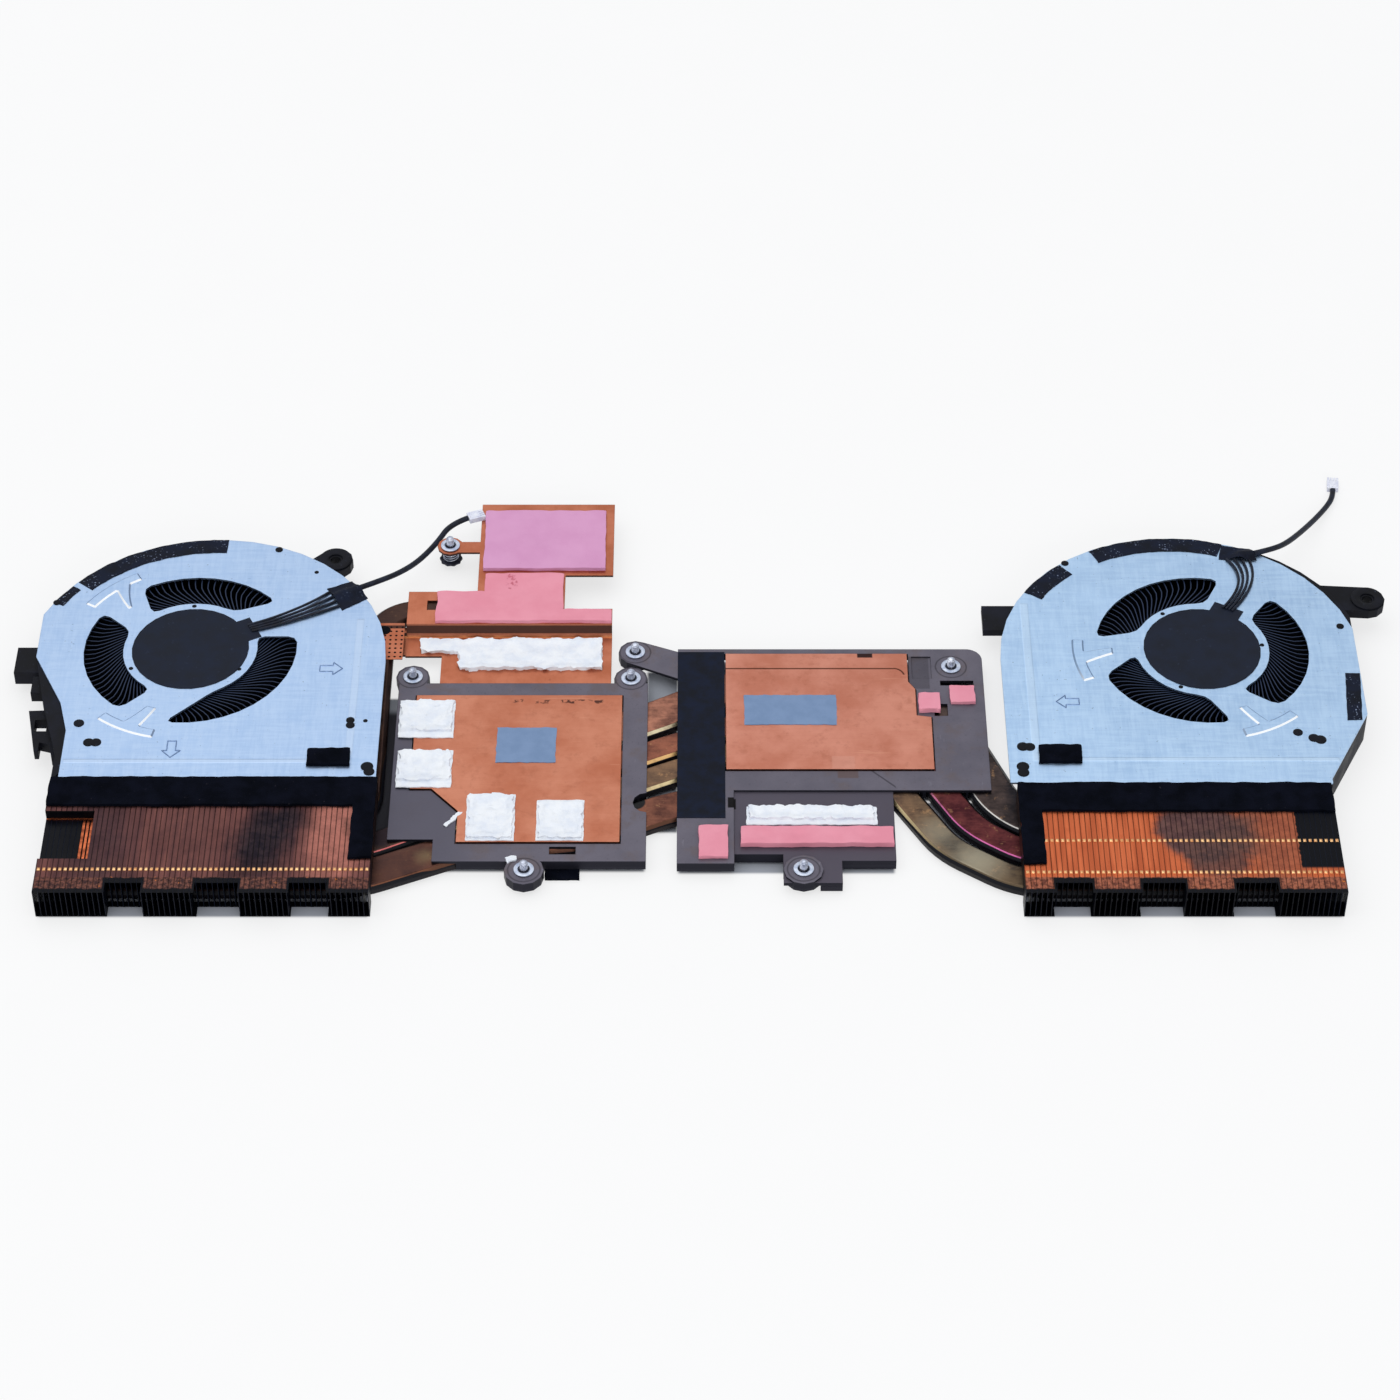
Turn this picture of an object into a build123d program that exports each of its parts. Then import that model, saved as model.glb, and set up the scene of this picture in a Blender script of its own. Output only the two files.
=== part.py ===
from build123d import *
import os
from math import atan2, cos, degrees, radians, sin, sqrt, tan
from types import SimpleNamespace

# Laptop cooling assembly, lying on its back with the motherboard side up. Millimetres.
# X runs along the length, Y from the fins to the back, Z up from the surface that it lies on.

# Heights of the levels above the surface
fan_height = 9.2
fan_plate_sheet = 0.6
fan_floor_sheet = 0.7
fin_height = 8.6
pipe_bottom = 0.8
pipe_thickness = 2.4
bracket_top = 4.0
bracket_web = 0.8
bracket_bottom = 1.2
lower_shelf_drop = 0.6
lower_shelf_sheet = 1.0
cold_plate_proud = 0.4
regulator_sheet = 0.6
regulator_step = 3.1
head_clearance = 0.4

# Chain of widths along X, from the left tab tip to the right ear tip
left_tab = 5.6
left_fan_gap = 3.4
gpu_width = 63.7
bracket_gap = 7.6
cpu_width = 78.3
right_fan_gap = 4.3
right_ear = 5.4

# Chain of depths along Y, from the fin front to the back of the regulator plate
mouth_gap = 0.3
gpu_setback = 14.7
gpu_depth = 63.3
regulator_tuck = 2.0
regulator_shelf_depth = 20.8
regulator_riser_run = 1.2
regulator_deck_depth = 47.2

# Fans, measured from the hub: u points to the middle of the assembly, v to the back
left_fan = SimpleNamespace(
    side=1, inner=50.3, front=46.6, plate_radius=46.4, plate_rise=42.2, volute_step=3.9, edge_step=3.3,
    edge_front=-3.0, shoulder=[(-31.0, -20.0), (-28.5, -30.0)], rim=[(-35.4, -20.5), (-30.4, -38.0)],
    tongue=[
        (-37.4, -7.0), (-35.6, -8.0), (-29.5, -19.0), (-22.5, -27.0), (-19.5, -34.0), (-24.5, -41.0),
        (-29.8, -46.0), (-29.8, -38.0), (-34.8, -20.5),
    ],
    slots=[(41, 122, 55, 130), (150, 234, 157, 240), (261, 370, 296, 376)],
    fin_depth=38.5, fin_start=-30.4, fin_end=50.7,
    fin_steps=[17.3, 26.1, 39.0, 49.5, 61.8, 70.9],
)
right_fan = SimpleNamespace(
    side=-1, inner=51.9, front=48.6, plate_radius=46.4, plate_rise=42.8, volute_step=2.8, edge_step=1.4,
    edge_front=-24.0, shoulder=[(-28.0, -47.0)], rim=[(-28.0, -47.0)],
    tongue=[
        (-38.8, -13.0), (-31.0, -17.0), (-20.5, -30.0), (-20.0, -34.0), (-27.9, -46.0), (-38.8, -24.4),
    ],
    slots=[(9, 104.5, 22, 97.5), (135, 230, 140, 240), (259, 339, 272, 353)],
    fin_depth=36.5, fin_start=-27.5, fin_end=50.2,
    fin_steps=[16.7, 26.8, 39.0, 49.4, 61.5, 70.3],
)
plate_overhang = 6.6
housing_wall = 1.2
back_ledge = 0.4
slot_inner_radius = 17.2
slot_outer_radius = 27.3
slot_corner = 2.2
corner_ease = 0.29
inlet_radius = 26.0

# Motor and impeller
impeller_radius = 34.6
tongue_gap = 1.0
blade_count = 71
blade_thickness = 0.5
blade_sweep = 24.0
blade_clear = 0.6
hub_proud = 0.2
hub_radius = 15.0
hub_wall = 1.4
hub_cap = 0.8
magnet_thickness = 1.1
magnet_clear = 1.3
magnet_height = 4.0
shaft_radius = 1.0
shaft_clear = 0.05
bearing_wall = 1.2
bearing_lift = 0.8
stator_radius = 11.4
stator_core = 5.0
stator_poles = 6
pole_width = 2.6
pole_root = 8.6
pole_shoe = 8.4
stator_height = 2.8
board_radius = 12.0
board_sheet = 0.5
shaft_top_gap = 0.3
label_radius = 15.0
label_sheet = 0.15
flap_width = 8.0
flap_reach = 18.0

# Fins and gaskets
fin_pitch = 1.3
fin_sheet = 0.2
fin_recess = 3.2
fin_lip = 4.8
corner_notch = [12.2, 16.3, 2.6]
gasket_sheet = 0.8
gasket_width = 9.6
gasket_leg_width = 5.6
gasket_leg_length = 18.0

# Ears of the fans
ear_radius = 4.6
ear_bore = 1.3
ear_bottom = 5.4
ear_top = 8.0

# Heat pipes
narrow_pipe = 8.0
front_pipe = 10.5
wide_pipe = 11.5
regulator_pipe = 7.6
pipe_bend = 24.0
wide_pipe_turn = 20.0
pipe_clear = 0.4
pipe_rise = 2.5
pipe_round = 1.0
pipe_tip = 3.0
pipe_pitch_gap = 0.7

# Brackets and plates
bracket_rim = 1.2
window_clear = 0.3
cpu_corner = 4.0
recess_depth = 0.4
boss_radius = 4.3
bottom_boss_radius = 4.9
regulator_boss_radius = 3.4

# Captive screws
screw_radius = 1.0
screw_hole_clear = 0.4
screw_head_radius = 3.0
screw_head = 0.9
screw_reach = 2.6
screw_travel = 1.0
washer_radius = 2.7
washer_sheet = 0.4
washer_lift = 0.1
spring_radius = 2.1
spring_wire = 0.3
spring_end_gap = 0.05
spring_sides = 5
spring_turns = 2
regulator_screw_drop = 4.9

# Soft pieces and tapes
die_film = 0.15
putty_height = 1.1
deck_pad = 1.1
shelf_pad = 1.5
tape_sheet = 0.15
foam_height = 1.0
cable_radius = 0.75
cable_lift = 0.15
wire_size = 0.5
plug_length = 4.4
plug_width = 3.0
plug_height = 1.6
plug_gap = 0.15

# Sides of the smaller rounds, and degrees between the points of the larger ones
shank_sides = 6
fastener_sides = 8
small_sides = 12
hub_sides = 20
label_sides = 30
round_step = 9.0

# Places along X
for fan in (left_fan, right_fan):
    fan.edge = fan.inner - 2 * fan.plate_radius + fan.edge_step
    fan.volute_radius = fan.plate_radius - fan.volute_step
left_tab_reach = left_tab - left_fan.edge
right_ear_offset = right_ear - right_fan.edge
length = left_tab_reach + left_fan.inner + left_fan_gap + gpu_width + bracket_gap + cpu_width
length += right_fan_gap + right_fan.inner + right_ear_offset + ear_radius
left_fan.x = -length / 2 + left_tab_reach
gpu_left = left_fan.x + left_fan.inner + left_fan_gap
gpu_right = gpu_left + gpu_width
cpu_left = gpu_right + bracket_gap
cpu_right = cpu_left + cpu_width
right_fan.x = cpu_right + right_fan_gap + right_fan.inner

# Places along Y
depth = gpu_setback + gpu_depth - regulator_tuck + regulator_shelf_depth
depth += regulator_riser_run + regulator_deck_depth
fin_front = -depth / 2
gpu_front = fin_front + gpu_setback
gpu_back = gpu_front + gpu_depth
shelf_front = gpu_back - regulator_tuck
shelf_back = shelf_front + regulator_shelf_depth
deck_front = shelf_back + regulator_riser_run
deck_back = deck_front + regulator_deck_depth
for fan in (left_fan, right_fan):
    fan.y = fin_front + fan.fin_depth + mouth_gap + fan.front

# Places along Z
plate_bottom = fan_height - fan_plate_sheet
pipe_top = pipe_bottom + pipe_thickness
pipe_middle = pipe_bottom + pipe_thickness / 2
web_bottom = bracket_top - bracket_web
cold_plate_top = bracket_top + cold_plate_proud
shelf_top = bracket_top - lower_shelf_drop
regulator_shelf_top = web_bottom
deck_top = regulator_shelf_top + regulator_step
deck_bottom = deck_top - regulator_sheet
blade_bottom = fan_floor_sheet + blade_clear
blade_top = plate_bottom - blade_clear
cap_top = blade_bottom + hub_cap
hub_bore = hub_radius - hub_wall


def prism(face, bottom, top):
    """A flat face raised from one height to another."""
    return extrude(Pos(0, 0, bottom) * face, amount=top - bottom, dir=(0, 0, 1))


def block(x0, x1, y0, y1, z0, z1):
    """An upright box between two corners."""
    return Pos((x0 + x1) / 2, (y0 + y1) / 2, (z0 + z1) / 2) * Box(abs(x1 - x0), abs(y1 - y0), z1 - z0)


def rectangle(x0, x1, y0, y1):
    """A flat rectangle between two corners."""
    return Pos((x0 + x1) / 2, (y0 + y1) / 2) * Rectangle(abs(x1 - x0), abs(y1 - y0))


def polygon(points):
    """A flat face inside a closed row of points."""
    return make_face(Polyline(*points, close=True))


def polar(radius, angle):
    """A point on a circle about the origin."""
    return (radius * cos(radians(angle)), radius * sin(radians(angle)))


def arc_points(centre, radius, start, end):
    """Points along a round stretch, with both of its ends."""
    count = max(1, round(abs(end - start) / round_step))
    turns = [polar(radius, start + (end - start) * number / count) for number in range(count + 1)]
    return [(centre[0] + x, centre[1] + y) for x, y in turns]


def disc(radius, sides=small_sides):
    """A round face with a few flat sides."""
    return RegularPolygon(radius, sides)


def heading_of(run):
    """The direction of a vector in the XY plane, in degrees."""
    return degrees(atan2(run.Y, run.X))


def on_fan(fan, shape):
    """Carries a shape drawn in a fan's own u and v to its place on the assembly."""
    if fan.side < 0:
        shape = mirror(shape, Plane.YZ)
    return Pos(fan.x, fan.y, 0) * shape


def fan_point(fan, u, v):
    """The place on the assembly of a point in a fan's own u and v."""
    return (fan.x + fan.side * u, fan.y + v)


def save(name, *solids):
    """Writes the solids of one piece."""
    flat = [solid for item in solids for solid in item.solids()]
    piece = flat[0] if len(flat) == 1 else Compound(children=flat)
    export_step(piece, f"parts/{name}.step")


# Fan housing and plate


def scroll(inner, centre, radius, shoulder, front):
    """The outline of a fan: straight inner side, round back, stepped outer side."""
    rise = sqrt(radius**2 - (shoulder[0][0] - centre[0]) ** 2)
    turn = heading_of(Vector(shoulder[0][0] - centre[0], rise))
    return polygon([*arc_points(centre, radius, 0, turn), *shoulder, (inner, -front)])


def shoulder_points(fan, corners, inset, front):
    """The stepped outer side of a fan from its round back to its front."""
    steps = [(fan.edge, fan.edge_front), *corners]
    return [*[(u + inset, v) for u, v in steps], (steps[-1][0] + inset, -front)]


def plate_centre(fan):
    """The centre of the round back of a fan's plate."""
    return (fan.inner - fan.plate_radius, fan.plate_rise - fan.plate_radius)


def volute_face(fan, inset):
    """The outline of a fan's housing, drawn in by an inset, open to the front when inset."""
    inner = fan.inner - plate_overhang - inset
    radius = fan.volute_radius - inset
    centre = (inner - radius, fan.plate_rise - back_ledge - inset - radius)
    front = fan.front + (housing_wall if inset else 0)
    return scroll(inner, centre, radius, shoulder_points(fan, fan.rim, inset, front), front)


def fan_housing(fan, ears):
    """The moulded volute with its floor, round inlet, tongue and ears."""
    shell = prism(volute_face(fan, 0), 0, plate_bottom)
    for ear in ears:
        shell += ear
    tongue = polygon(fan.tongue) - polygon(arc_points((0, 0), impeller_radius + tongue_gap, 0, 360)[:-1])
    shell -= prism(volute_face(fan, housing_wall) - tongue, fan_floor_sheet, plate_bottom)
    shell -= prism(disc(inlet_radius, hub_sides), 0, fan_floor_sheet)
    return on_fan(fan, shell)


def screw_ear(u, v, root):
    """An ear with a bore for a screw, joined to the wall at a root point."""
    rounds = [Pos(u, v) * disc(ear_radius), Pos(*root) * disc(ear_radius)]
    neck = make_hull([edge for face in rounds for edge in face.edges()])
    return prism(neck - Pos(u, v) * Circle(ear_bore), ear_bottom, ear_top)


def eased_side(outer, inner, outer_trim, inner_trim):
    """One end of a slot between two trimmed arcs, its corners eased."""
    outer, inner = Vector(*outer), Vector(*inner)
    run = (inner - outer).normalized() * slot_corner
    first, last = outer + run, inner - run
    outer_middle = outer + (Vector(*outer_trim) + first - outer * 2) * corner_ease
    inner_middle = inner + (Vector(*inner_trim) + last - inner * 2) * corner_ease
    return [(point.X, point.Y) for point in (outer_middle, first, last, inner_middle)]


def kidney(outer_start, outer_end, inner_start, inner_end):
    """One inlet slot between the angles of its outer and inner side, its corners rounded."""
    outer_trim = degrees(slot_corner / slot_outer_radius)
    inner_trim = degrees(slot_corner / slot_inner_radius)
    outer = arc_points((0, 0), slot_outer_radius, outer_start + outer_trim, outer_end - outer_trim)
    inner = arc_points((0, 0), slot_inner_radius, inner_start + inner_trim, inner_end - inner_trim)
    ends = []
    for far, near, number in ((outer_start, inner_start, 0), (outer_end, inner_end, -1)):
        corners = (polar(slot_outer_radius, far), polar(slot_inner_radius, near))
        ends.append(eased_side(*corners, outer[number], inner[number]))
    return polygon([*outer, *ends[1], *inner[::-1], *ends[0][::-1]])


def plate_face(fan):
    """The outline of a fan's plate."""
    shoulder = shoulder_points(fan, fan.shoulder, 0, fan.front)
    return scroll(fan.inner, plate_centre(fan), fan.plate_radius, shoulder, fan.front)


def fan_plate(fan):
    """The steel plate with its three kidney slots."""
    face = plate_face(fan)
    for angles in fan.slots:
        face -= kidney(*angles)
    return on_fan(fan, prism(face, plate_bottom, fan_height))


# Impeller and motor


def blade():
    """One straight swept blade, rooted in the hub's wall."""
    root = Vector(hub_radius - hub_wall / 2, 0)
    tip = Vector(*polar(impeller_radius, blade_sweep))
    across = (tip - root).normalized().rotate(Axis.Z, 90) * (blade_thickness / 2)
    corners = [root - across, tip - across, tip + across, root + across]
    return prism(polygon([(point.X, point.Y) for point in corners]), blade_bottom, blade_top)


def impeller(fan):
    """The hub cup and its swept blades."""
    wheel = prism(disc(hub_radius, hub_sides), blade_bottom - hub_proud, blade_top + hub_proud)
    wheel = wheel.fuse(*[Rot(0, 0, 360 * number / blade_count) * blade() for number in range(blade_count)])
    wheel -= prism(disc(hub_bore, hub_sides), cap_top, blade_top + hub_proud)
    return on_fan(fan, wheel)


def ring(outer, inner, bottom, top, sides=small_sides):
    """An upright tube."""
    return prism(disc(outer, sides) - disc(inner, sides), bottom, top)


def stator_face():
    """The laminated star with its pole shoes, bored for the bearing."""
    face = disc(stator_core, stator_poles)
    for number in range(stator_poles):
        turn = Rot(0, 0, 360 * number / stator_poles)
        face += turn * polygon([
            (0, -pole_width / 2), (pole_root, -pole_width / 2), (stator_radius, -pole_shoe / 2),
            (stator_radius, pole_shoe / 2), (pole_root, pole_width / 2), (0, pole_width / 2),
        ])
    return face - disc(shaft_radius + shaft_clear + bearing_wall)


def motor_pieces(fan):
    """The magnet, shaft, bearing, stator and board of one fan."""
    magnet_bottom = cap_top + magnet_clear
    magnet_top = magnet_bottom + magnet_height
    magnet = ring(hub_bore, hub_bore - magnet_thickness, magnet_bottom, magnet_top, hub_sides)
    shaft = prism(Circle(shaft_radius), cap_top, plate_bottom - shaft_top_gap)
    bore = shaft_radius + shaft_clear
    sleeve = ring(bore + bearing_wall, bore, cap_top + bearing_lift, plate_bottom)
    middle = magnet_bottom + magnet_height / 2
    stator = prism(stator_face(), middle - stator_height / 2, middle + stator_height / 2)
    board = ring(board_radius, bore + bearing_wall, plate_bottom - board_sheet, plate_bottom)
    pieces = dict(rotor_magnet=magnet, fan_shaft=shaft, fan_bearing=sleeve, stator=stator, motor_board=board)
    return {name: on_fan(fan, shape) for name, shape in pieces.items()}


def hub_label(fan, angle):
    """The dark round label on the plate with the flap that covers the wire ends."""
    flap = Rot(0, 0, angle) * rectangle(0, flap_reach, -flap_width / 2, flap_width / 2)
    return on_fan(fan, prism(disc(label_radius, label_sides) + flap, fan_height, fan_height + label_sheet))


# Fins and gaskets


def fin_stack(fan, notched):
    """Folded fins as one comb, stepped at the front, raised over the pipes behind a lip."""
    width = fan.fin_end - fan.fin_start
    count = round(width / fin_pitch)
    pitch = (width - fin_sheet) / count
    comb = Rectangle(width, fin_height)
    for number in range(count):
        gap = Rectangle(pitch - fin_sheet, fin_height - fin_sheet)
        comb -= Pos(fin_sheet / 2 - width / 2 + pitch * (number + 0.5), -fin_sheet / 2) * gap
    middle = (fan.fin_start + fan.fin_end) / 2
    front = -fan.front - mouth_gap - fan.fin_depth
    section = Plane((middle, front, fin_height / 2), x_dir=(1, 0, 0), z_dir=(0, -1, 0)) * comb
    stack = extrude(section, amount=fan.fin_depth, dir=(0, 1, 0))
    rear = front + fan.fin_depth
    lip = front + fin_lip
    stack -= block(fan.fin_start, fan.fin_end, lip, rear, 0, pipe_top)
    for near, far in zip(fan.fin_steps[::2], fan.fin_steps[1::2]):
        recess = (fan.fin_start + near, fan.fin_start + far)
        stack -= block(*recess, front, front + fin_recess, 0, fin_height)
    if notched:
        across, along, down = corner_notch
        near = front + fin_lip + 2 * fin_recess
        notch = (fan.fin_start, fan.fin_start + across, near, near + along)
        stack -= block(*notch, fin_height - down, fin_height)
        stack += block(*notch, fin_height - down - fin_sheet, fin_height - down)
    return on_fan(fan, stack)


def fin_gasket(fan):
    """The foam strip over the fan mouth with its leg along the end of the fins."""
    front = -fan.front - gasket_width
    face = rectangle(fan.fin_start, fan.fin_end, front, -fan.front)
    face += rectangle(fan.fin_end - gasket_leg_width, fan.fin_end, front - gasket_leg_length, front)
    return on_fan(fan, prism(face, fin_height, fin_height + gasket_sheet))


# Heat pipes


def route(points, bend):
    """A path of straight runs and tangent arcs."""
    return FilletPolyline(*points, radius=bend)


def along(path, section):
    """A flat section carried along a path, kept level."""
    start = Plane(path @ 0, x_dir=Vector(0, 0, 1).cross(path % 0), z_dir=path % 0)
    return sweep(start * section, path=path)


def flat_pipe(path, width):
    """A flattened heat pipe, its upper edges eased."""
    across, rise = width / 2, pipe_thickness / 2
    half = [(across, -rise), (across, rise - pipe_round), (across - pipe_round, rise)]
    return along(path, polygon([*half, *[(-x, y) for x, y in half[::-1]]]))


def pipe_channel(path, width):
    """The room that a pipe needs under a bracket."""
    return along(path, Rectangle(width + 2 * pipe_clear, pipe_thickness))


def level(points):
    """Points of a route at the height of the pipes."""
    return [(x, y, pipe_middle) for x, y in points]


def fin_row(lip_gap, width):
    """The Y of a pipe under the fins, by its distance behind the lip."""
    return fin_front + fin_lip + lip_gap + width / 2


left_stack_end = left_fan.x + left_fan.fin_start
left_stack_start = left_fan.x + left_fan.fin_end
right_stack_end = right_fan.x - right_fan.fin_start
right_stack_start = right_fan.x - right_fan.fin_end
front_row = fin_row(pipe_clear, front_pipe)
left_second_row = front_row + front_pipe / 2 + pipe_pitch_gap + narrow_pipe / 2
left_third_row = left_second_row + narrow_pipe / 2 + pipe_pitch_gap + regulator_pipe / 2
right_first_row = fin_row(pipe_clear, narrow_pipe)
right_second_row = right_first_row + narrow_pipe + pipe_pitch_gap
right_third_row = right_second_row + narrow_pipe / 2 + pipe_pitch_gap + wide_pipe / 2
front_pipe_path = route(level([
    (left_stack_end + pipe_tip, front_row),
    (left_stack_start - 4.0, front_row),
    (gpu_left + 16.4, gpu_front + 5.9),
    (gpu_left + 48.4, gpu_front + 10.3),
    (cpu_left - 3.8, gpu_front + 19.3),
    (cpu_left + 19.1, gpu_front + 26.9),
    (cpu_left + 33.1, gpu_front + 28.4),
]), pipe_bend)
shared_pipe_path = route(level([
    (left_stack_end + pipe_tip, left_second_row),
    (left_stack_start - 4.0, left_second_row),
    (gpu_left + 12.4, gpu_front + 15.4),
    (gpu_left + 42.4, gpu_front + 19.9),
    (cpu_left - 4.3, gpu_front + 31.3),
    (cpu_left + 23.7, gpu_front + 43.8),
    (cpu_left + 45.1, gpu_front + 43.8),
    (cpu_right - 11.6, gpu_front + 6.3),
    (right_stack_start - 0.2, right_first_row),
    (right_stack_end - pipe_tip, right_first_row),
]), pipe_bend)
middle_pipe_path = route(level([
    (gpu_left + 28.0, gpu_front + 28.2),
    (gpu_left + 44.0, gpu_front + 29.9),
    (cpu_left - 4.3, gpu_front + 40.9),
    (cpu_left + 23.7, gpu_front + 53.3),
    (cpu_left + 51.7, gpu_front + 53.3),
    (cpu_right - 5.2, gpu_front + 13.3),
    (right_stack_start + 3.3, right_second_row),
    (right_stack_end - pipe_tip, right_second_row),
]), pipe_bend)
wide_pipe_path = route(level([
    (gpu_left + 11.0, gpu_front + 39.3),
    (gpu_left + 41.0, gpu_front + 40.3),
    (cpu_left - 4.3, gpu_front + 53.3),
    (cpu_left + 17.7, gpu_front + 65.3),
    (cpu_left + 52.0, gpu_front + 65.3),
    (cpu_right - 9.2, gpu_front + 49.9),
    (cpu_right + 5.3, right_third_row),
    (right_stack_end - pipe_tip, right_third_row),
]), [pipe_bend] * 5 + [wide_pipe_turn])
regulator_run_x = left_fan.x + left_fan.inner - plate_overhang + pipe_clear + regulator_pipe / 2
regulator_run_y = deck_front + 6.6
regulator_pipe_path = FilletPolyline(
    (left_stack_end + pipe_tip, left_third_row, pipe_middle),
    (regulator_run_x, left_third_row, pipe_middle),
    (regulator_run_x, gpu_front + 33.9, pipe_middle),
    (regulator_run_x, gpu_front + 57.9, pipe_middle + pipe_rise),
    (regulator_run_x, regulator_run_y, pipe_middle + pipe_rise),
    (gpu_right - 27.3, regulator_run_y, pipe_middle + pipe_rise),
    radius=[11.0, 40.0, 40.0, 9.0],
)
heat_pipes = {
    "front_heat_pipe": (front_pipe_path, front_pipe),
    "shared_heat_pipe": (shared_pipe_path, narrow_pipe),
    "middle_heat_pipe": (middle_pipe_path, narrow_pipe),
    "wide_heat_pipe": (wide_pipe_path, wide_pipe),
    "regulator_heat_pipe": (regulator_pipe_path, regulator_pipe),
}
bracket_pipes = ["front_heat_pipe", "shared_heat_pipe", "middle_heat_pipe", "wide_heat_pipe"]


# Brackets, cold plates and regulator plate


def screw_boss(x, y, radius, top, bottom, web):
    """An ear that holds a captive screw: round cup, open below for the head and spring."""
    boss = prism(disc(radius), bottom, top)
    boss -= prism(disc(screw_head_radius + 2 * screw_hole_clear), bottom, top - web)
    return Pos(x, y, 0) * boss


def screw_hole(x, y):
    """The hole that a captive screw slides in."""
    return Pos(x, y) * prism(disc(screw_radius + screw_hole_clear), bracket_bottom, fan_height)


def tray(outline, cold_plate):
    """A plate with a window for its cold plate and a rim that hangs from its edge."""
    window = offset(cold_plate, window_clear, kind=Kind.INTERSECTION)
    plate = prism(outline - window, web_bottom, bracket_top)
    hollow = offset(outline, -bracket_rim, kind=Kind.INTERSECTION)
    return plate + prism(outline - hollow, bracket_bottom, web_bottom)


def clear_of_pipes(bracket):
    """Opens a bracket's rim where the pipes pass."""
    for name in bracket_pipes:
        path, width = heat_pipes[name]
        bracket -= Pos(0, 0, -pipe_clear) * pipe_channel(path, width)
        bracket -= pipe_channel(path, width)
    return bracket


gpu_screws = [
    (gpu_left + 3.4, gpu_back + 2.3, boss_radius),
    (gpu_right - 4.4, gpu_back + 1.7, boss_radius),
    (gpu_left + 34.0, gpu_front - 2.9, bottom_boss_radius),
]
cpu_back = gpu_back + 12.8
cpu_step = gpu_front + 24.6
cpu_shelf_right = cpu_right - 24.5
cpu_screws = [
    (cpu_left - 11.0, cpu_back - 1.2, boss_radius),
    (cpu_right - 8.1, cpu_back - 6.7, boss_radius),
    (cpu_left + 31.0, gpu_front - 2.7, bottom_boss_radius),
]
cpu_recess = (cpu_right - 18.2, cpu_right - 13.2, cpu_back - 11.0, cpu_back - 2.8)
cpu_cutouts = [
    (cpu_right - 11.1, cpu_right - 2.6, cpu_back - 13.6, cpu_back - 11.8),
    (cpu_right - 13.0, cpu_right - 9.6, cpu_back - 24.8, cpu_back - 20.4),
]
regulator_screw = (gpu_left + 10.9, deck_back - 16.7, regulator_boss_radius)


def gpu_plate_face():
    """The outline of the graphics cold plate."""
    left = gpu_left + 4.8
    right = gpu_right - 6.5
    back = gpu_back - 4.8
    front = gpu_front + 6.3
    corner = (gpu_left + 17.0, gpu_front + 17.0)
    return polygon([
        (left, back), (right, back), (right, front), (corner[0], front), corner,
        (corner[0] - 6.9, corner[1] + 7.8), (left, corner[1] + 7.8),
    ])


def gpu_bracket():
    """The graphics bracket: tray, three screw ears and small cut-outs."""
    outline = rectangle(gpu_left, gpu_right, gpu_front, gpu_back)
    outline -= rectangle(gpu_left, gpu_left + 11.3, gpu_front, gpu_front + 7.5)
    outline -= Pos(gpu_right, gpu_front + 20.3) * disc(3.4)
    bracket = tray(outline, gpu_plate_face())
    bracket -= block(gpu_left, gpu_right - boss_radius, shelf_front, gpu_back, bracket_bottom, web_bottom)
    slot = (gpu_left + 40.0, gpu_left + 46.5, gpu_front + 2.4, gpu_front + 5.0)
    bracket -= block(*slot, web_bottom, bracket_top)
    return clear_of_pipes(with_bosses(bracket, gpu_screws))


def with_bosses(bracket, screws):
    """Adds a bracket's screw ears and drills them."""
    for x, y, radius in screws:
        reach = screw_head_radius + 2 * screw_hole_clear
        bracket -= Pos(x, y) * prism(disc(reach), bracket_bottom, web_bottom)
        bracket += screw_boss(x, y, radius, bracket_top, bracket_bottom, bracket_web)
    for x, y, radius in screws:
        bracket -= screw_hole(x, y)
    return bracket


def cpu_plate_face():
    """The outline of the processor cold plate."""
    left = cpu_left + 12.3
    back = cpu_back - 2.1
    front = cpu_step + 7.1
    right = cpu_right - 13.9
    notch = cpu_right - 17.6
    return polygon([
        (left, back), (notch - 1.7, back), (notch - 1.7, back - 10.5), (notch, back - 13.2),
        (notch, front + 19.4), (right, front + 18.8), (right, front), (left, front),
    ])


def cpu_bracket():
    """The processor bracket: tray, lower shelf in front, slanted arm and three screw ears."""
    column_right = cpu_left + 14.1
    corner = arc_points((cpu_right - cpu_corner, cpu_back - cpu_corner), cpu_corner, 0, 90)
    outline = polygon([(cpu_left, cpu_step), (cpu_right, cpu_step), *corner, (cpu_left, cpu_back)])
    outline += rectangle(cpu_left, column_right, gpu_front - 0.7, cpu_step)
    arm_x, arm_y, arm_radius = cpu_screws[0]
    ear = Pos(arm_x, arm_y) * disc(arm_radius)
    arm = make_hull([*ear.edges(), Line((cpu_left, cpu_back - 1.0), (cpu_left, cpu_back - 11.0))])
    bracket = tray(outline, cpu_plate_face())
    bracket += prism(arm, web_bottom, bracket_top)
    for cutout in cpu_cutouts:
        bracket -= block(*cutout, web_bottom, bracket_top)
    bracket -= block(*cpu_recess, bracket_top - recess_depth, bracket_top)
    foot_x, foot_y, foot_radius = cpu_screws[2]
    shelf = rectangle(column_right, cpu_shelf_right, gpu_front + 3.0, cpu_step)
    shelf += rectangle(foot_x - foot_radius, foot_x + 9.5, foot_y - 4.0, gpu_front + 3.0)
    shelf += rectangle(foot_x + 9.5, cpu_shelf_right, gpu_front + 0.8, gpu_front + 3.0)
    bracket += prism(shelf, shelf_top - lower_shelf_sheet, shelf_top)
    bracket = with_bosses(bracket, cpu_screws)
    return clear_of_pipes(bracket)


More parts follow.
